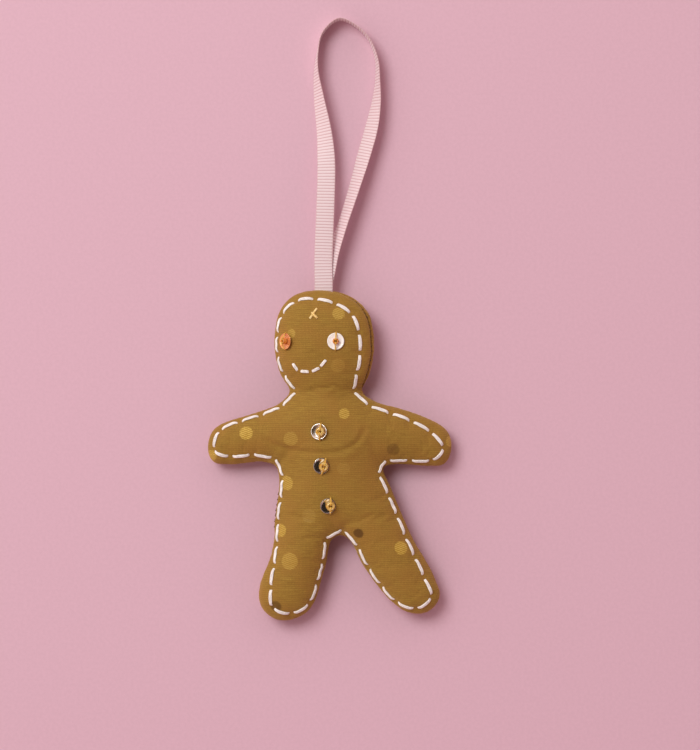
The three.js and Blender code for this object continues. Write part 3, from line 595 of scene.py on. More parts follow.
# %% The paper pattern
HEAD_X, HEAD_Y, HEAD_WIDTH, HEAD_HEIGHT, HEAD_PADDING = -2, 40, 35.2, 36.2, 17
HEAD_SQUARENESS, JAW_ANGLE, HEAD_POINTS = 2.5, 35, 9
FACE_INSET, FACE_TURN, FACE_TURN_ANGLE = 3.2, 2.5, 8
RIDGE_SHIFT = 0.5
NECK_WIDTH, NECK_Y = 25.8, 22.5
SHOULDER_WIDTH, SHOULDER_Y = 34.8, 18.7
ARMPIT_WIDTH, ARMPIT_Y = 38.2, -4.8
WAIST_WIDTH, WAIST_Y = 39, -10.5
HIP_WIDTH, HIP_Y = 44.6, -21
CROTCH_X, CROTCH_Y, CROTCH_RIDGE_Y, CROTCH_INSET = 5.6, -28.5, -16.7, 2.1
GAP_CORNER_X, GAP_CORNER_Y, GAP_CORNER_INSET = 1.3, -29.2, 1.9
TRUNK_LEAN, TRUNK_PADDING, HIP_PADDING, NECK_PADDING = 3, 16, 15, 13.5
CHEST_RIDGE, WAIST_RIDGE, HIP_RIDGE = 2.5, 1, 4
SHOULDER_JOINT_X, SHOULDER_JOINT_Y = 13.5, 8.8
HIP_JOINT_X, HIP_JOINT_Y, LEGS_X = 11.3, -23.7, 3.8
TIP_ANGLES = (-78, -40, 0, 40, 78)
pattern = []


def mark(x, y, middle, inset):
    """A point on the seam, the middle of its padding and how far in the stitch runs."""
    pattern.append((x, y, *middle, inset))


def mark_limb(root, length, degrees, widths, paddings, insets):
    """Out along one side of an arm or a leg, round its end and back."""
    along = np.array([math.cos(math.radians(degrees)), math.sin(math.radians(degrees))])
    across = np.array([-along[1], along[0]])
    tip = np.array(root) + along * length
    half_way = (np.array(root) + tip) / 2
    mark(*(half_way - across * widths[0] / 2), (*half_way, paddings[0]), insets[0])
    for angle, inset in zip(np.radians(TIP_ANGLES), np.linspace(*insets[1:3], len(TIP_ANGLES))):
        rim = tip + (along * math.cos(angle) + across * math.sin(angle)) * widths[1] / 2
        mark(*rim, (*tip, paddings[1]), inset)
    mark(*(half_way + across * widths[0] / 2), (*half_way, paddings[0]), insets[3])


def mark_side(side, insets):
    """Armpit, waist and hip of one side, from the top down: side is -1 on the left."""
    chest = (side * CHEST_RIDGE, SHOULDER_JOINT_Y, TRUNK_PADDING)
    waist = (TRUNK_LEAN / 3 + side * WAIST_RIDGE, WAIST_Y, TRUNK_PADDING)
    hip = (TRUNK_LEAN + side * HIP_RIDGE, HIP_Y, HIP_PADDING)
    return [
        (side * ARMPIT_WIDTH / 2, ARMPIT_Y, chest, insets[0]),
        ((TRUNK_LEAN + side * WAIST_WIDTH) / 2, WAIST_Y, waist, insets[1]),
        (TRUNK_LEAN + side * HIP_WIDTH / 2, HIP_Y, hip, insets[1]),
    ]


def mark_neck(side, insets):
    """Neck and shoulder of one side, from the top down."""
    neck = (HEAD_X / 2, NECK_Y, NECK_PADDING)
    chest = (side * CHEST_RIDGE, SHOULDER_JOINT_Y, TRUNK_PADDING)
    return [
        ((HEAD_X + side * NECK_WIDTH) / 2, NECK_Y, neck, insets[0]),
        ((HEAD_X + side * SHOULDER_WIDTH) / 2, SHOULDER_Y, chest, insets[1]),
    ]


def rounded(value):
    """A squarer oval than a sine or cosine gives."""
    return math.copysign(abs(value) ** (2 / HEAD_SQUARENESS), value)


# %% Marking the points round the figure
ARM = dict(widths=(18.9, 15.5), paddings=(13, 11))
LEG = dict(widths=(20, 19.8), paddings=(14, 12.5))
for degrees in np.linspace(-JAW_ANGLE, 180 + JAW_ANGLE, HEAD_POINTS):
    angle = math.radians(degrees)
    turned_in = FACE_INSET + FACE_TURN * math.cos(angle - math.radians(FACE_TURN_ANGLE))
    mark(
        HEAD_X + rounded(math.cos(angle)) * HEAD_WIDTH / 2,
        HEAD_Y + rounded(math.sin(angle)) * HEAD_HEIGHT / 2,
        (HEAD_X + RIDGE_SHIFT, HEAD_Y, HEAD_PADDING), turned_in,
    )
left_neck = len(pattern)
for point in mark_neck(-1, (1.9, 1.6)):
    mark(*point)
mark_limb(
    (-SHOULDER_JOINT_X, SHOULDER_JOINT_Y), length=22.4, degrees=191.5,
    insets=(1.2, 1.5, 2.8, 2.6), **ARM,
)
for point in mark_side(-1, (1.6, 1.1)):
    mark(*point)
left_hip = (LEGS_X - HIP_JOINT_X, HIP_JOINT_Y)
mark_limb(left_hip, length=25.2, degrees=252.8, insets=(1.2, 4.2, 1.4, 1.2), **LEG)
mark(GAP_CORNER_X, GAP_CORNER_Y, (*left_hip, HIP_PADDING), GAP_CORNER_INSET)
crotch = len(pattern)
mark(CROTCH_X, CROTCH_Y, (TRUNK_LEAN, CROTCH_RIDGE_Y, HIP_PADDING), CROTCH_INSET)
right_hip = (LEGS_X + HIP_JOINT_X, HIP_JOINT_Y)
mark_limb(right_hip, length=25.9, degrees=-60, insets=(1.2, 1.1, 3.6, 2.2), **LEG)
for point in reversed(mark_side(1, (2.5, 2.0))):
    mark(*point)
mark_limb(
    (SHOULDER_JOINT_X, SHOULDER_JOINT_Y), length=22, degrees=-12.8,
    insets=(1.1, 1.9, 4.0, 2.6), **ARM,
)
for point in reversed(mark_neck(1, (2.8, 2.6))):
    mark(*point)
right_neck = len(pattern) - 1
pattern = np.array(pattern)
shift = np.array([HINGE[0] - HEAD_X, CROWN_Y - HEAD_Y - HEAD_HEIGHT / 2])
pattern[:, 0:2] += shift
pattern[:, 2:4] += shift
print(len(pattern), "pattern points, shifted by", shift.round(2))

# %% [markdown]
# The pattern has straight limbs with round ends. The figure was cut by hand, so its edge
# strays from the pattern by a millimetre or so, and this is what makes it look hand-made. The
# amounts are read off the photograph at each point of the pattern and softened along the edge.

# %% Ribs from the seam to the middle of the padding
RIBS_PER_POINT = 8
CUT_SMOOTHING = 3
# How far the scissors strayed outwards at the pattern's points, in millimetres
HAND_CUT = {
    "head": (1.7, 0.8, 0.2, -0.8, -0.3, 0.2, -0.2, -0.3, 0.5),
    "left neck": (0.2, -0.9),
    "left arm": (-1.0, -0.6, -0.8, -0.3, 1.4, -0.1, 0.1),
    "left side": (-0.5, -0.1, 0.0),
    "left leg": (-0.9, -0.1, 0.9, 1.0, 0.2, 0.7, 0.5),
    "between the legs": (0.0, 0.0),
    "right leg": (0.8, -1.8, -1.2, 1.2, 1.9, -0.6, -0.4),
    "right side": (0.6, 0.4, -0.3),
    "right arm": (0.9, 0.0, 1.7, 0.3, 0.2, 0.1, 0.5),
    "right neck": (0.3, -0.5),
}


def between_points(values):
    """Values at every rib, straight from one pattern point's to the next."""
    values = np.array(values, float)
    share = np.arange(RIBS_PER_POINT)[:, None] / RIBS_PER_POINT
    return np.concatenate([a + (b - a) * share for a, b in zip(values, np.roll(values, -1, 0))])


seam_xy = curve_through(pattern[:, :2], closed=True, per_span=RIBS_PER_POINT)
ribs = between_points(pattern[:, 2:])
strayed = between_points([[v] for values in HAND_CUT.values() for v in values])[:, 0]
beside = range(-CUT_SMOOTHING, CUT_SMOOTHING + 1)
strayed = sum(np.roll(strayed, k) for k in beside) / len(beside)
ridge_xy, padding, inset = ribs[:, :2], ribs[:, 2], ribs[:, 3]
rib_reach = np.linalg.norm(seam_xy - ridge_xy, axis=1)
rib_out = (seam_xy - ridge_xy) / rib_reach[:, None]
rib_reach = rib_reach + strayed
print(len(ribs), "ribs, the longest", round(rib_reach.max(), 1), "mm")

# %% [markdown]
# The head is rolled a little to the left. Its seam shows on the right, higher than the edge
# and inside it, with a strip of the back cloth beyond. On the left it goes under.

# %% The seam's line
FRONT_SHARE = 0.55
FLAT_DEPTH = 0.35
# How far the seam stands above the middle of the padding, and inside the outline, on the head
SEAM_LIFT = [3.3, 4.0, 3.5, 2.1, 0.0, -0.8, -1.3, -1.5, -1.2]
SEAM_INSIDE = [1.0, 1.6, 1.5, 0.8]


def on_ribs(values):
    """Values of the first pattern points, and nought at the others, at every rib."""
    return between_points([[v] for v in values + [0.0] * (len(pattern) - len(values))])[:, 0]


seam_z = padding * (1 - FRONT_SHARE) - FLAT_DEPTH + on_ribs(SEAM_LIFT)
front_rise = padding - FLAT_DEPTH - seam_z
back_drop = seam_z + FLAT_DEPTH
inside = on_ribs(SEAM_INSIDE)
seam_reach = rib_reach - inside
back_bulge = np.sqrt(inside * seam_reach / 2)
seam_line = np.column_stack([ridge_xy + rib_out * seam_reach[:, None], seam_z])
seam_length, seam_top = run_of(seam_line)[-1], seam_line[:, 2].max()
print("seam", round(seam_length, 1), "mm long, up to", round(seam_top, 1), "mm high")

# %% [markdown]
# The floss runs a little way in from the seam. The sewer turned at both sides of the neck and
# between the legs, so a stitch ends at each of these corners. Twelve stitches go round the
# head and 21 down each side, as counted in the photograph.

# %% The stitch line
STITCH_BRIDGE = 1.1
# Pattern points where a stitch ends, with the number of stitches from there to the next
CORNERS = [(right_neck, 12), (left_neck, 21), (crotch, 21)]
flat = 1 - (inset - inside) / seam_reach
rise = np.sqrt(1 - flat**2)
stitch_line = np.column_stack([
    ridge_xy + rib_out * (seam_reach * flat)[:, None],
    seam_z + front_rise * rise,
])
stitch_normal = unit(np.column_stack([
    rib_out * (front_rise * flat)[:, None],
    seam_reach * rise,
]))
stitch_loop = np.hstack([
    np.vstack([stitch_line, stitch_line[:1]]), np.vstack([stitch_normal, stitch_normal[:1]])
])
stitch_runs = run_of(stitch_loop)
stitch_total = stitch_runs[-1]
corner_runs = [stitch_runs[corner * RIBS_PER_POINT] for corner, _ in CORNERS]
stitch_ends = []
for start, end, (_, count) in zip(corner_runs, corner_runs[1:] + corner_runs[:1], CORNERS):
    marks = start + np.linspace(0, (end - start) % stitch_total, count + 1)
    stitch_ends += zip(marks[:-1] + STITCH_BRIDGE / 2, marks[1:] - STITCH_BRIDGE / 2)
stitch_ends = np.array(stitch_ends)


def along_stitch_line(distances):
    """Places and outward directions at distances along the stitch line."""
    found = at_runs(stitch_loop, np.mod(distances, stitch_total))
    return found[:, :3], unit(found[:, 3:])


hole_places, hole_normals = along_stitch_line(stitch_ends.ravel())
print(len(stitch_ends), "stitches on a line of", round(stitch_total, 1), "mm")

# %% [markdown]
# A ring on the seam is extruded rib by rib up to the ridge and down to the back, which is
# flat where it lies on the table. It starts a little flatter than the finished padding,
# because the stuffing swells it. A voxel remesh then gives even squares of cloth.

# %% Slack cloth form
RISE_ANGLES = (9, 18, 27, 36, 45, 54, 63, 72, 80, 86)
SLACK = 0.95
SIM_SCALE = 0.01
VOXEL = 0.68
SMOOTHINGS, RIDGE_SMOOTHINGS = 6, 40


def form_ring(degrees, rise, bulge):
    """Points of all ribs at one angle, from the seam at nought to the ridge at ninety."""
    angle = math.radians(degrees)
    reach = seam_reach * math.cos(angle) + bulge * math.sin(2 * angle)
    z = np.maximum(seam_z + SLACK * rise * math.sin(angle), 0.0)
    return np.column_stack([ridge_xy + rib_out * reach[:, None], z])


bm = bmesh.new()
index_layer = bm.verts.layers.int.new("rib")
rim = bmesh.ops.create_circle(bm, segments=len(ribs), radius=1.0)["verts"]
for k, vert in enumerate(rim):
    vert[index_layer] = k
    vert.co = seam_line[k]
rim_edges = list(bm.edges)
for rise, bulge in ((front_rise, 0 * back_bulge), (-back_drop, back_bulge)):
    edges = rim_edges
    for degrees in RISE_ANGLES:
        fresh, edges = extrude_ring(bm, edges)
        ring = form_ring(degrees, rise, bulge)
        for vert in fresh:
            vert.co = ring[vert[index_layer]]
    bmesh.ops.contextual_create(bm, geom=edges)
bmesh.ops.recalc_face_normals(bm, faces=bm.faces)
bmesh.ops.scale(bm, vec=(SIM_SCALE,) * 3, verts=bm.verts)
form_mesh = bpy.data.meshes.new("slack_form")
bm.to_mesh(form_mesh)
bm.free()
form = bpy.data.objects.new("slack_form", form_mesh)
scene.collection.objects.link(form)
remesh = form.modifiers.new("even_cloth", "REMESH")
remesh.mode = "VOXEL"
remesh.voxel_size = VOXEL * SIM_SCALE
even = finished_mesh(form)
print("even cloth", len(even.vertices), "points")

# %% Reading and setting points


def points_of(mesh):
    co = np.empty(len(mesh.vertices) * 3, np.float32)
    mesh.vertices.foreach_get("co", co)
    return co.reshape(-1, 3).astype(float)


def set_points(mesh, points):
    mesh.vertices.foreach_set("co", points.astype(np.float32).ravel())
    mesh.update()


def normals_of(mesh):
    no = np.empty(len(mesh.vertices) * 3, np.float32)
    mesh.vertex_normals.foreach_get("vector", no)
    return no.reshape(-1, 3).astype(float)


def above_table(points):
    """The points, with those below the table lifted onto it."""
    return np.column_stack([points[:, :2], np.maximum(points[:, 2], 0.0)])


def nearest_in(rows, points):
    """Index of the nearest row to each point, and the distance to it."""
    found, far = [], []
    for part in np.array_split(points, max(1, len(points) // 4000)):
        gaps = np.linalg.norm(part[:, None, :] - rows[None, :, :], axis=2)
        found.append(gaps.argmin(1))
        far.append(gaps.min(1))
    return np.concatenate(found), np.concatenate(far)


# %% [markdown]
# Where the ribs of both sides meet, the form has a flat strip with sharp edges. Smoothing it
# over and over there, and a little elsewhere, leaves a soft crown of padding.

# %% Softening the ridge
RIDGE_HALF = 4.5
ALL_AXES = dict(use_axis_x=True, use_axis_y=True, use_axis_z=True)
ridge_far = nearest_in(ridge_xy, points_of(even)[:, :2] / SIM_SCALE)[1]
bm = bmesh.new()
bm.from_mesh(even)
bm.verts.ensure_lookup_table()
ridge_verts = [bm.verts[k] for k in np.flatnonzero(ridge_far < RIDGE_HALF)]
for verts, times in ((bm.verts[:], SMOOTHINGS), (ridge_verts, RIDGE_SMOOTHINGS)):
    for _ in range(times):
        bmesh.ops.smooth_vert(bm, verts=verts, factor=0.5, **ALL_AXES)
bm.to_mesh(even)
bm.free()
print(len(ridge_verts), "points smoothed along the ridge")

# %% [markdown]
# ## Stuffing the cloth
# Cloth simulation does the stuffing: the seam and the needle holes are held, and pressure
# swells the cloth between them, so that it puckers at every stitch as the real one does. The
# simulation runs at ten times the size, where Blender's cloth behaves better. The
# movement is capped, so that the figure keeps the size of its solids.

# %% Held points
STITCH_PULL = 0.4
HOLD_SEAM = 0.75
HOLD_HOLE = 0.6
slack_points = points_of(even) / SIM_SCALE
seam_far = nearest_in(seam_line, slack_points)[1]
hole_index, hole_far = nearest_in(hole_places, slack_points)
held = (seam_far < HOLD_SEAM) | (hole_far < HOLD_HOLE)
pulled = slack_points.copy()
near_hole = hole_far < 2 * HOLD_HOLE
pull = STITCH_PULL * np.clip(1 - hole_far / (2 * HOLD_HOLE), 0, 1) ** 0.5
pulled[near_hole] -= hole_normals[hole_index[near_hole]] * pull[near_hole, None]
set_points(even, pulled * SIM_SCALE)
print(int(held.sum()), "points held")

# %% Pressure from the stuffing
FRAMES = 20
PRESSURE = 3.5
MOST_MOVE = 1.6
stuffed = bpy.data.objects.new("stuffed", even)
scene.collection.objects.link(stuffed)
group = stuffed.vertex_groups.new(name="held")
group.add(np.flatnonzero(held).tolist(), 1.0, "REPLACE")
cloth = stuffed.modifiers.new("cloth", "CLOTH")
cloth.settings.quality = 5
cloth.settings.mass = 0.3
cloth.settings.tension_stiffness = 12
cloth.settings.compression_stiffness = 12
cloth.settings.shear_stiffness = 4
cloth.settings.bending_stiffness = 0.3
cloth.settings.shrink_min = -0.012
cloth.settings.use_pressure = True
cloth.settings.uniform_pressure_force = PRESSURE
cloth.settings.vertex_group_mass = "held"
cloth.settings.effector_weights.gravity = 0.0
cloth.point_cache.frame_end = FRAMES
for step in range(1, FRAMES + 1):
    scene.frame_set(step)
seen = stuffed.evaluated_get(bpy.context.evaluated_depsgraph_get())
swollen = points_of(seen.data) / SIM_SCALE
stuffed.modifiers.clear()
scene.frame_set(1)
moved = swollen - pulled
size = np.linalg.norm(moved, axis=1, keepdims=True)
print("moved", np.percentile(size, [50, 95, 100]).round(2), "mm")
swollen = pulled + moved * np.minimum(1.0, MOST_MOVE / np.maximum(size, 1e-9))
set_points(even, swollen * SIM_SCALE)
set_points(even, above_table(points_of(even)))
smoother = stuffed.modifiers.new("finer", "SUBSURF")
smoother.levels = smoother.render_levels = 1
body_mesh = finished_mesh(stuffed)
body_points = points_of(body_mesh) / SIM_SCALE
print("stuffed cloth", len(body_points), "points", body_points.min(0), body_points.max(0))

# %% [markdown]
# ## Folds
# The photograph shows a broad fold across the chest from arm to arm, a soft valley at the
# neck and short creases at the armpits. They are drawn as lines on the front. The cloth sinks
# along each line and rises a little beside it. Lumps of stuffing are slow noise.

# %% Drawn folds and lumps
# Points of each fold, its depth and its half width, in millimetres
FOLDS = [
    (
        [
            (-22.9, 7.1), (-21.9, 5.6), (-17.3, 3), (-11.1, 1.5), (-4.9, 1), (4.4, 1.5),
            (9.5, 4.1), (12.1, 8.2), (12.6, 10.5),
        ],
        0.5, 0.95,
    ),
    ([(-12.3, 21.2), (-4, 20.0), (3, 20.0), (9.4, 20.9)], 0.5, 2.2),
    ([(-19, -4.6), (-15.5, -1.0), (-13.5, 2.0)], 0.35, 1.2),
    ([(19.2, -4.4), (16, 0.5), (15, 4.5)], 0.35, 1.2),
    ([(3.4, -27), (1.2, -23.5), (-2.5, -21.5)], 0.3, 1.2),
    ([(3.8, -27), (6.4, -24.0), (10.5, -22.0)], 0.3, 1.2),
]
# How far a fold is felt, and the height and place of the bank beside it, in shares of it
FOLD_REACH, BANK, BANK_AT = 30, 0.3, 2.1
LUMP, LUMP_SIZE, LUMP_FADE = 0.16, 8.5, 2.0
RIB_STEP = 4
normals = normals_of(body_mesh)
nearest_rib = nearest_in(seam_line[::RIB_STEP], body_points)[0] * RIB_STEP
in_front = body_points[:, 2] > seam_z[nearest_rib]
move = np.zeros(len(body_points))
for points, depth, width in FOLDS:
    line = curve_through([(*p, 0.0) for p in points], per_span=14)
    flat_points = body_points * (1, 1, 0)
    near = np.flatnonzero(np.linalg.norm(flat_points - line.mean(0), axis=1) < FOLD_REACH)
    where, far = nearest_in(line, flat_points[near])
    ends = np.sin(np.pi * np.clip((where + 1) / (len(line) + 1), 0, 1)) ** 0.6
    bank = np.exp(-(((far - BANK_AT * width) / width) ** 2))
    dip = np.exp(-((far / width) ** 2)) - BANK * bank
    move[near] -= depth * ends * dip * in_front[near]
lumps = np.array([noise.noise(Vector(p) / LUMP_SIZE) for p in body_points])
move += LUMP * lumps * np.clip(body_points[:, 2] / LUMP_FADE, 0, 1)
body_points = above_table(body_points + normals * move[:, None])
print(len(FOLDS), "folds, deepest", round(float(-move.min()), 2), "mm")

# %% [markdown]
# ## Seam
# The two cloth pieces meet in a seam, where both roll in. The faces are sorted to front and
# back, the points between them are set on the seam's line, and the cloth near it sinks into a
# groove. Then each side becomes its own piece with a narrow turned-in edge.

# %% Groove along the seam
GROOVE_DEPTH = 0.55
SHOWN_GROOVE = 0.25
GROOVE_HALF = 1.2
TURNED_IN, TURNED_APART = 1.3, 0.12
SEAM_STEPS = 4
dense = np.vstack([seam_line, seam_line[:1]])
dense = at_runs(
    np.hstack([dense, np.vstack([rib_out, rib_out[:1]])]),
    np.linspace(0, run_of(dense)[-1], SEAM_STEPS * len(ribs), endpoint=False),
)
edge_rib, edge_far = nearest_in(dense[::SEAM_STEPS, :3], body_points)
edge_index = edge_rib * SEAM_STEPS
face_points = np.array([p.vertices[:] for p in body_mesh.polygons])
above = body_points[:, 2] - dense[edge_index, 2]
front_face = above[face_points].mean(1) > 0
touches = np.zeros((len(body_points), 2), bool)
touches[face_points[front_face].ravel(), 0] = True
touches[face_points[~front_face].ravel(), 1] = True
on_seam = touches.all(1)
exact, _ = nearest_in(dense[:, :3], body_points[on_seam])
body_points[on_seam] = dense[exact, :3]
edge_far[on_seam] = 0.0
depth = GROOVE_DEPTH + SHOWN_GROOVE * inside[edge_rib]
sink = depth * np.clip(1 - edge_far / GROOVE_HALF, 0, 1) ** 1.6
set_points(body_mesh, body_points)
body_points = above_table(body_points - normals_of(body_mesh) * sink[:, None])
set_points(body_mesh, body_points)
print(int(on_seam.sum()), "points on the seam")

# %% [markdown]
# The weave follows the cloth: each point gets its place on the flat cut piece, which is its
# place in plan plus the cloth that goes down over the edge. Dot places are measured from the
# photograph on the front, and go on in the same loose rows on the back.

# %% Dots on the cloth
# Gold dots in front: x, y, how much they shine and their size against a whole dot
GOLD_DOTS = [
    (3.6, 49.5, 0.65, 0.9), (-13.4, 42.4, 0.6, 0.65), (3.3, 31.1, 0.25, 1),
    (5.4, 14.5, 0.8, 0.75), (-28.8, 7.7, 1, 0.95), (-13.2, 5.7, 0.42, 1),
    (-15.3, -9.9, 0.7, 1), (-6.9, -21.1, 0.15, 1),
    (-17.4, -26.3, 0.8, 0.9), (-13.7, -36.9, 0.55, 1.2), (25.4, -32.2, 0.9, 0.95),
    (-41.8, -0.8, 0.8, 0.9), (43.8, 4.8, 0.7, 0.9), (5.2, -4.5, 0.15, 0.9),
]
# Dark dots in front: x, y, how dark they are and their size
DARK_DOTS = [(22.5, 1.9, 0.45, 0.95), (10.4, -27.4, 0.85, 0.75), (-18.6, -53.1, 0.7, 0.9)]
BACK_DOTS = [
    (9.5, 50.5), (-8.5, 46.5), (4.5, 38.5), (-13.5, 32), (7.5, 27.5), (-5.5, 15.5), (11.5, 10.5),
    (28.5, 7.5), (-21.5, 3.5), (-3, 1.5), (14, -6.5), (-12, -12.5), (4.5, -18), (19, -25.5),
    (-14.5, -30.5), (31.5, -40), (-17, -47.5), (20.5, -46), (-38, 6),
]
DARK_BACK_DOTS = [(-13, -0.5), (12, -31.5), (-34, 4)]
BACK_SHINE, BACK_DARKNESS = 0.75, 0.6
print(len(GOLD_DOTS) + len(DARK_DOTS), "dots in front,", len(BACK_DOTS), "behind")

# %% Places on the flat cloth
ARC_STEPS = 24
is_front = above >= 0
body_points = points_of(body_mesh)
drop = np.where(is_front, front_rise[edge_rib], back_drop[edge_rib])
reach = rib_reach[edge_rib]
angle = np.arcsin(np.clip(np.abs(above) / drop, 0, 1))
steps = np.linspace(0, 1, ARC_STEPS)
sweep = angle[:, None] + (np.pi / 2 - angle)[:, None] * steps
speed = np.sqrt((reach[:, None] * np.sin(sweep)) ** 2 + (drop[:, None] * np.cos(sweep)) ** 2)
arc = speed.mean(1) * (np.pi / 2 - angle)
extra = np.maximum(arc - reach * np.cos(angle), 0.0)
cloth_xy = body_points[:, :2] + dense[edge_index, 3:] * extra[:, None]
print("cloth", np.ptp(cloth_xy, axis=0).round(1), "mm laid flat")

# %% What the cloth's finish reads
# The back piece lies this far from the front one, so that their weaves differ
BACK_AWAY = 50.0


def set_attribute(name, values):
    """Numbers or places at the cloth's points, for its finish."""
    kind, key = ("FLOAT_VECTOR", "vector") if values.ndim == 2 else ("FLOAT", "value")
    layer = body_mesh.attributes.new(name, kind, "POINT")
    layer.data.foreach_set(key, values.astype(np.float32).ravel())


def set_dots(far_name, strength_name, front_dots, back_dots, back_strength):
    """Distance to the nearest dot of a point's own side, and that dot's strength."""
    front_dots = np.array(front_dots)
    which, front_far = nearest_in(front_dots[:, :2], cloth_xy)
    back_far = nearest_in(np.array(back_dots), cloth_xy)[1]
    set_attribute(far_name, np.where(is_front, front_far / front_dots[which, 3], back_far))
    set_attribute(strength_name, np.where(is_front, front_dots[which, 2], back_strength))


set_attribute("cloth", np.column_stack([cloth_xy, np.where(is_front, 0.0, BACK_AWAY)]))
set_dots("gold_dot", "dot_shine", GOLD_DOTS, BACK_DOTS, BACK_SHINE)
set_dots("dark_dot", "dot_darkness", DARK_DOTS, DARK_BACK_DOTS, BACK_DARKNESS)
# Distance to the seam, for the painted shadow in the groove
set_attribute("seam_far", edge_far)
print("cloth carries", [a.name for a in body_mesh.attributes if a.domain == "POINT"])

# %% Front and back cloth


def cloth_side(keep):
    """One cloth piece: its faces, and an edge turned in at the seam."""
    bm = bmesh.new()
    bm.from_mesh(body_mesh)
    bm.faces.ensure_lookup_table()
    away = [f for f in bm.faces if front_face[f.index] != keep]
    bmesh.ops.delete(bm, geom=away, context="FACES")
    inner, _ = extrude_ring(bm, [e for e in bm.edges if e.is_boundary])
    where, _ = nearest_in(dense[:, :3], np.array([v.co[:] for v in inner]))
    for vert, k in zip(inner, where):
        vert.co.x -= dense[k, 3] * TURNED_IN
        vert.co.y -= dense[k, 4] * TURNED_IN
        vert.co.z += TURNED_APART if keep else -TURNED_APART
    bmesh.ops.recalc_face_normals(bm, faces=bm.faces)
    return bm


STUFFED = ("head", "trunk", "left_arm", "right_arm", "left_leg", "right_leg")
STUFFING = [f"{part}_stuffing" for part in STUFFED]
front_bm = cloth_side(True)
front_tree = BVHTree.FromBMesh(front_bm)
front_cloth = add_piece(
    "front_cloth", mesh_of(front_bm, "front_cloth"), cloth_finish,
    ("front_panel", *STUFFING),
)
back_cloth = add_piece(
    "back_cloth", mesh_of(cloth_side(False), "back_cloth"), cloth_finish, ("back_panel",)
)

# %% [markdown]
# ## Floss
# Six-strand floss comes up through the cloth, lies over it and goes down again. Each stitch
# is a bundle of strands with a slight twist, drawn on the finished cloth by a ray from
# outside. It dives through the cloth at both ends.

# %% Laying floss on the cloth
RAY_ABOVE = 8
# A stitch lies flat and dives at its ends, and its bundle is narrower there
FLATNESS, END_WIDTH = 7, 0.72


def on_front(place, normal):
    """The place on the front cloth under a given one, looking along its normal."""
    start = Vector(place + normal * RAY_ABOVE)
    hit = front_tree.ray_cast(start, Vector(-normal), 2 * RAY_ABOVE)[0]
    if hit is None:
        hit = front_tree.find_nearest(Vector(place))[0]
    return np.array(hit)


def floss_stitch(places, normals, strands, width, thickness, lift, dive, twist):
    """Strand paths of one stitch over the given places on the cloth."""
    line = np.array([on_front(p, n) for p, n in zip(places, normals)])
    share = np.linspace(0, 1, len(line))
    height = -dive + (lift + dive) * (1 - np.abs(2 * share - 1) ** FLATNESS)
    tangent = unit(np.gradient(line, axis=0))
    side = unit(np.cross(normals, tangent))
    swell = END_WIDTH + (1 - END_WIDTH) * np.sin(np.pi * share)
    paths = []
    for k in range(strands):
        angle = 2 * math.pi * k / strands + twist * 2 * math.pi * share
        offset = side * (np.cos(angle) * swell * width)[:, None]
        offset += normals * (np.sin(angle) * swell * thickness + height)[:, None]
        paths.append(line + offset)
    return paths


# %% White running stitch
STITCH_POINTS = 13
FLOSS_RADIUS = 0.2
RUNNING = dict(strands=6, width=0.44, thickness=0.1, lift=0.16, dive=0.6, twist=0.3)


def straight_stitch(ends, normals, **floss):
    """A stitch pulled straight from one end to the other."""
    share = np.linspace(0, 1, STITCH_POINTS)[:, None]
    places = ends[0] + (ends[1] - ends[0]) * share
    return floss_stitch(places, unit(normals[0] + (normals[1] - normals[0]) * share), **floss)


outline_paths = []
for run in stitch_ends:
    outline_paths += straight_stitch(*along_stitch_line(run), **RUNNING)
add_strands(
    "outline_floss", outline_paths, FLOSS_RADIUS, white_floss,
    ("outline_stitching",),
)

# %% Smile and forehead cross
FACE_HEIGHT = 16.0
SMILE = [
    ((-12.5, 32.0), (-10.75, 29.4)), ((-9.8, 29.25), (-6.8, 29.0)),
    ((-5.8, 29.1), (-3.1, 30.4)), ((-2.8, 30.85), (-0.85, 33.2)),
]
SMILE_FLOSS = dict(strands=5, width=0.36, thickness=0.12, lift=0.17, dive=0.6, twist=0.3)
both_up = np.array([UP, UP])
smile_paths = []
for start, end in SMILE:
    ends = np.array([(*start, FACE_HEIGHT), (*end, FACE_HEIGHT)])
    smile_paths += straight_stitch(ends, both_up, **SMILE_FLOSS)
add_strands(
    "smile_floss", smile_paths, FLOSS_RADIUS, white_floss, ("smile_stitching",)
)
CROSS_MIDDLE, CROSS_RADIUS = (-5.13, 49.22), 0.22
CROSS_FLOSS = dict(strands=3, width=0.22, thickness=0.12, dive=0.6, twist=0.4)
# The two bars of the cross, from end to end, measured from its middle, and their lift
CROSS_BARS = [((-1.5, -1.9), (1.2, 2.0), 0.2), ((-0.8, 0.5), (1.3, -1.7), 0.45)]
cross_paths = []
for start, end, lift in CROSS_BARS:
    ends = np.array([(*(np.array(p) + CROSS_MIDDLE), FACE_HEIGHT) for p in (start, end)])
    cross_paths += straight_stitch(ends, both_up, lift=lift, **CROSS_FLOSS)
add_strands(
    "forehead_cross", cross_paths, CROSS_RADIUS, gold_floss,
    ("forehead_cross_stitch",),
)

# %% [markdown]
# Brown sewing thread shows in two places: fine stitches in the seam on the right of the head,
# and the whip stitches that closed the opening on the left of the waist after stuffing. Each
# goes over the seam from one cloth to the other.

# %% Seam and closing stitches
body_tree = BVHTree.FromPolygons([Vector(p) for p in points_of(body_mesh)], face_points.tolist())
dense_runs = run_of(dense)
RAY_OUT, RAY_LENGTH, THREAD_DIVE = 4, 9, 0.3


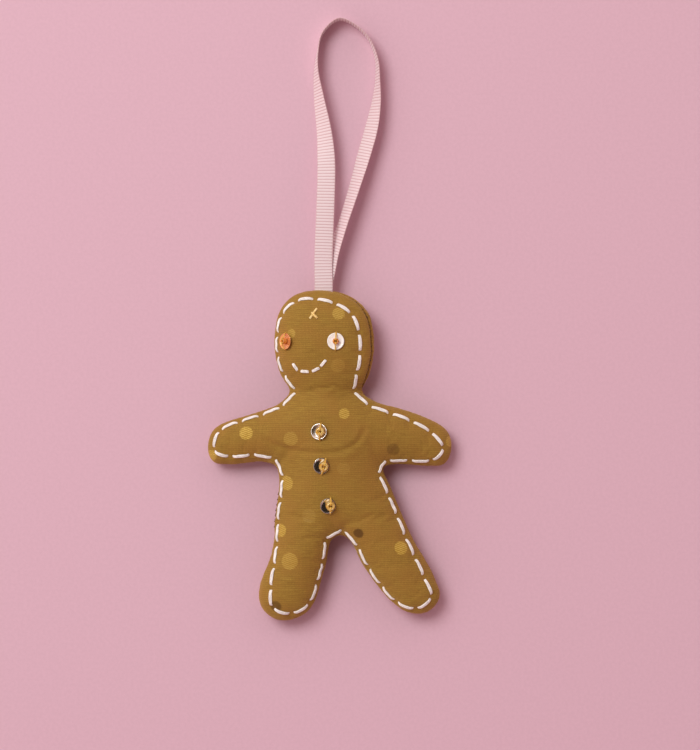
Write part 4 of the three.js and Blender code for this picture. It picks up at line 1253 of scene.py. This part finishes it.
def over_seam(run, reach, slant, lift):
    """Path of a thread over the seam, at a distance along it."""
    k = int(np.searchsorted(dense_runs, run)) % len(dense)
    out = np.array([*dense[k, 3:], 0.0])
    along = unit(dense[(k + 3) % len(dense), :3] - dense[k - 3, :3])
    across = unit(np.cross(out, along))
    path = []
    for share in np.linspace(-1, 1, 7):
        start = dense[k, :3] + across * reach * share + along * slant * share + out * RAY_OUT
        hit = body_tree.ray_cast(Vector(start), Vector(-out), RAY_LENGTH)[0]
        depth = lift if abs(share) < 0.9 else -THREAD_DIVE
        path.append(np.array(hit or start - out * RAY_OUT) + out * depth)
    return path


def seam_runs(start, end, spacing):
    """Distances along the seam, between the places nearest to two points in plan."""
    ends = [dense_runs[np.linalg.norm(dense[:, :2] - p, axis=1).argmin()] for p in (start, end)]
    return np.arange(ends[0], ends[1], spacing)


# Name, ends of the row in plan, spacing, reach over the seam, slant, lift, thread's radius
SEAM_ROWS = [
    ("seam_thread", (12.7, 28.3), (7.9, 55.4), 1.7, 0.7, 0.35, 0.08, 0.15),
    ("closing_thread", (-18.1, -13.5), (-19.4, -25.5), 1.9, 1.2, 0.5, 0.12, 0.19),
]
for name, start, end, spacing, reach, slant, lift, radius in SEAM_ROWS:
    paths = [over_seam(run, reach, slant, lift) for run in seam_runs(start, end, spacing)]
    add_strands(name, paths, radius, brown_thread)

# %% [markdown]
# ## Eyes and buttons
# Each is a cupped sequin, a glass bead that stands on it with its hole up, and a thread that
# comes up through both holes and goes down over the bead and the sequin's rim on either side.
# The sequin could be spun too, but a ring extruded outwards keeps its cup a plain formula. The
# bead is a round section spun about its hole.

# %% Sequin, bead and thread shapes
SEQUIN_HOLE, SEQUIN_FILM, SEQUIN_LIFT = 0.6, 0.14, 0.2
SEQUIN_RINGS, SEQUIN_SIDES, SEQUIN_TURN = 9, 40, 2.5
# The bead's section: its distance from the hole's line, half its width and half its height
BEAD_RING, BEAD_WALL, BEAD_HALF, BEAD_LIFT = 0.86, 0.46, 0.85, 1.3
BEAD_SIDES, BEAD_STEPS = 14, 24
STRAND_RADIUS, STRAND_APART = 0.13, 0.13


def sequin_shape(radius, cup):
    """A disc with a hole, flat in the middle and turned up at its rim by the cup's height."""
    bm = bmesh.new()
    shares = np.linspace(0, 1, SEQUIN_RINGS)
    profile = [(SEQUIN_HOLE + (radius - SEQUIN_HOLE) * t, cup * t**SEQUIN_TURN) for t in shares]
    bmesh.ops.create_circle(bm, segments=SEQUIN_SIDES, radius=SEQUIN_HOLE)
    edges = list(bm.edges)
    for (before, low), (after, high) in zip(profile, profile[1:]):
        fresh, edges = extrude_ring(bm, edges)
        bmesh.ops.scale(bm, vec=(after / before, after / before, 1), verts=fresh)
        bmesh.ops.translate(bm, vec=(0, 0, high - low), verts=fresh)
    bmesh.ops.recalc_face_normals(bm, faces=bm.faces)
    bmesh.ops.solidify(bm, geom=bm.faces[:], thickness=SEQUIN_FILM)
    bmesh.ops.translate(bm, vec=(0, 0, SEQUIN_LIFT), verts=bm.verts)
    return bm


def bead_shape(shift, size):
    """A round glass bead that stands on the sequin, with its hole upwards."""
    bm = bmesh.new()
    ring = bmesh.ops.create_circle(bm, segments=BEAD_SIDES, radius=1.0)["verts"]
    bmesh.ops.rotate(bm, matrix=Matrix.Rotation(math.pi / 2, 3, "X"), verts=ring)
    bmesh.ops.scale(bm, vec=(BEAD_WALL, 1, BEAD_HALF), verts=ring)
    bmesh.ops.translate(bm, vec=(BEAD_RING, 0, 0), verts=ring)
    bmesh.ops.spin(
        bm, geom=bm.verts[:] + bm.edges[:], cent=(0, 0, 0), axis=(0, 0, 1),
        angle=2 * math.pi, steps=BEAD_STEPS, use_merge=True,
    )
    bmesh.ops.remove_doubles(bm, verts=bm.verts, dist=0.001)
    bmesh.ops.recalc_face_normals(bm, faces=bm.faces)
    bmesh.ops.scale(bm, vec=(size, size, 1), verts=bm.verts)
    bmesh.ops.translate(bm, vec=(0, -shift, BEAD_LIFT), verts=bm.verts)
    return bm


def thread_paths(radius, cup, shift):
    """Strands out of the bead's hole, over the bead and the sequin's rim and into the cloth."""
    rim = SEQUIN_LIFT + SEQUIN_FILM + cup
    beside = radius + SEQUIN_FILM
    top = BEAD_LIFT + BEAD_HALF
    # From the cloth beside the sequin up over its rim and the bead, and down through the holes
    half = [
        (beside, -1.2), (beside, rim * 0.6), (radius - 0.2, rim + 0.2),
        (1.62, max(rim, BEAD_LIFT) + 0.25), (0.98, top + 0.12), (0.45, top + 0.02),
        (0.2, BEAD_LIFT - 0.2), (0.16, -0.9),
    ]
    line = curve_through([(x, 0.0, z) for x, z in half], per_span=5)
    paths = []
    for side in (1, -1):
        for offset in (-STRAND_APART, STRAND_APART):
            paths.append(line * np.array([side, 1, 1]) + np.array([0, offset - shift, 0]))
    return paths


# %% Sewing them on
# Name, place on the front, direction of the thread, tilt about it, bead's shift, radius, cup, film
SEWN = [
    ("left_eye", (-14.6, 39.62), 85, -9, 0.0, 2.9, 0.6, copper_film, "copper_sequin"),
    ("right_eye", (2.47, 39.62), 88, 0, 0.0, 2.95, 0.3, pearl_film, "pearl_sequin"),
    ("top_button", (-3.23, 8.22), 85, -8, 0.5, 2.8, 0.6, worn_silver_film, "silver_sequin"),
    ("middle_button", (-2.53, -3.58), 75, 9, 0.85, 2.75, 0.45, silver_film, "silver_sequin"),
    ("bottom_button", (-0.23, -17.48), 88, 8, 0.85, 2.7, 0.45, silver_film, "silver_sequin"),
]
EYE_BEAD, BUTTON_BEAD = 0.85, 1.2
SEAT_RADIUS, SEAT_POINTS = 2, 12


def sewn_place(x, y, degrees, tilt):
    """Matrix that sets a sequin on the cloth, level with the cloth round it."""
    spots = []
    for angle in np.linspace(0, 2 * math.pi, SEAT_POINTS, endpoint=False):
        over = (x + SEAT_RADIUS * math.cos(angle), y + SEAT_RADIUS * math.sin(angle), FACE_HEIGHT)
        spots.append(on_front(np.array(over), UP))
    spots = np.array(spots)
    middle = spots.mean(0)
    _, _, axes = np.linalg.svd(spots - middle)
    up = axes[2] if axes[2][2] > 0 else -axes[2]
    along = np.array([math.cos(math.radians(degrees)), math.sin(math.radians(degrees)), 0])
    side = unit(np.cross(up, along))
    along = np.cross(side, up)
    frame_matrix = Matrix(np.column_stack([along, side, up]).tolist()).to_4x4()
    frame_matrix.translation = Vector(middle)
    return frame_matrix @ Matrix.Rotation(math.radians(tilt), 4, "X")


for name, (x, y), degrees, tilt, shift, radius, cup, film, film_slot in SEWN:
    where = sewn_place(x, y, degrees, tilt)
    size, glass = (EYE_BEAD, amber_glass) if "eye" in name else (BUTTON_BEAD, pale_glass)
    for part, shape, finish, slot in (
        ("sequin", sequin_shape(radius, cup), film, film_slot),
        ("bead", bead_shape(shift, size), glass, "bead"),
    ):
        bmesh.ops.transform(shape, matrix=where, verts=shape.verts)
        node = f"{name}_{part}"
        add_piece(f"{node}_piece", mesh_of(shape, f"{node}_piece"), finish, (node,))
    paths = [[where @ Vector(p) for p in path] for path in thread_paths(radius, cup, shift)]
    add_strands(
        f"{name}_strand", paths, STRAND_RADIUS, amber_thread, (f"{name}_thread",)
    )

# %% [markdown]
# ## Table and light
# A plain pale pink table. One large soft lamp stands up and to the left, as the shadows in
# the photograph say. The room gives the rest, a little pink as light off the paper is. It has
# a dark corner overhead on the right, so that flat sequins have something dark to mirror.

# %% Table
TABLE_HALF = 2.0
table_mesh = bpy.data.meshes.new("table")
bm = bmesh.new()
bmesh.ops.create_grid(bm, x_segments=1, y_segments=1, size=TABLE_HALF)
bm.to_mesh(table_mesh)
bm.free()
table = bpy.data.objects.new("table", table_mesh)
scene.collection.objects.link(table)
paper, n, shader = new_finish("pink_paper")
grain = n.smooth(n.noise(n.object_place(), 900.0, 3.0, 0.6), 0.3, 0.7)
pink = n.mix(grain, srgb(213, 173, 186), srgb(217, 177, 190))
n.feed(shader, {"Base Color": pink, "Roughness": 0.85})
table_mesh.materials.append(paper)
print("table", 2 * TABLE_HALF, "m wide")

# %% Lamp and room
LAMP_DISTANCE, LAMP_SIZE, LAMP_POWER = 1.5, 0.84, 13.6
AWAY_FROM_LAMP, TOWARDS_LAMP = (1.58, 1.0, 1.06, 1.0), (1.64, 1.3, 1.3, 1.0)
DARK, ROOM_STRENGTH = (0.05, 0.04, 0.03, 1.0), 0.6
lamp = bpy.data.objects.new("lamp", bpy.data.lights.new("lamp", "AREA"))
lamp.data.shape = "DISK"
lamp.data.size = LAMP_SIZE
lamp.data.energy = LAMP_POWER
lamp.data.color = (0.9, 1.0, 0.99)
towards_lamp = Vector((-0.5, 0.52, 1.0)).normalized()
dark_corner = Vector((0.3, -0.15, 0.94)).normalized()
lamp.location = towards_lamp * LAMP_DISTANCE
lamp.rotation_euler = towards_lamp.to_track_quat("Z", "Y").to_euler()
scene.collection.objects.link(lamp)

world = bpy.data.worlds.new("room")
scene.world = world
world.use_nodes = True
n = Nodes(world.node_tree)
world.node_tree.nodes.clear()
direction = n.add("ShaderNodeTexCoord").outputs["Generated"]
facing = n.add("ShaderNodeVectorMath", {0: direction, 1: towards_lamp}, operation="DOT_PRODUCT")
near_lamp = n.smooth(facing.outputs["Value"], -0.2, 0.9)
room = n.mix(near_lamp, AWAY_FROM_LAMP, TOWARDS_LAMP)
away = n.add("ShaderNodeVectorMath", {0: direction, 1: dark_corner}, operation="DOT_PRODUCT")
room = n.mix(n.smooth(away.outputs["Value"], 0.72, 0.84), room, DARK)
light = n.add("ShaderNodeBackground", {"Color": room, "Strength": ROOM_STRENGTH}).outputs[0]
n.add("ShaderNodeOutputWorld", {"Surface": light})
print("lamp", lamp.data.energy, "W")
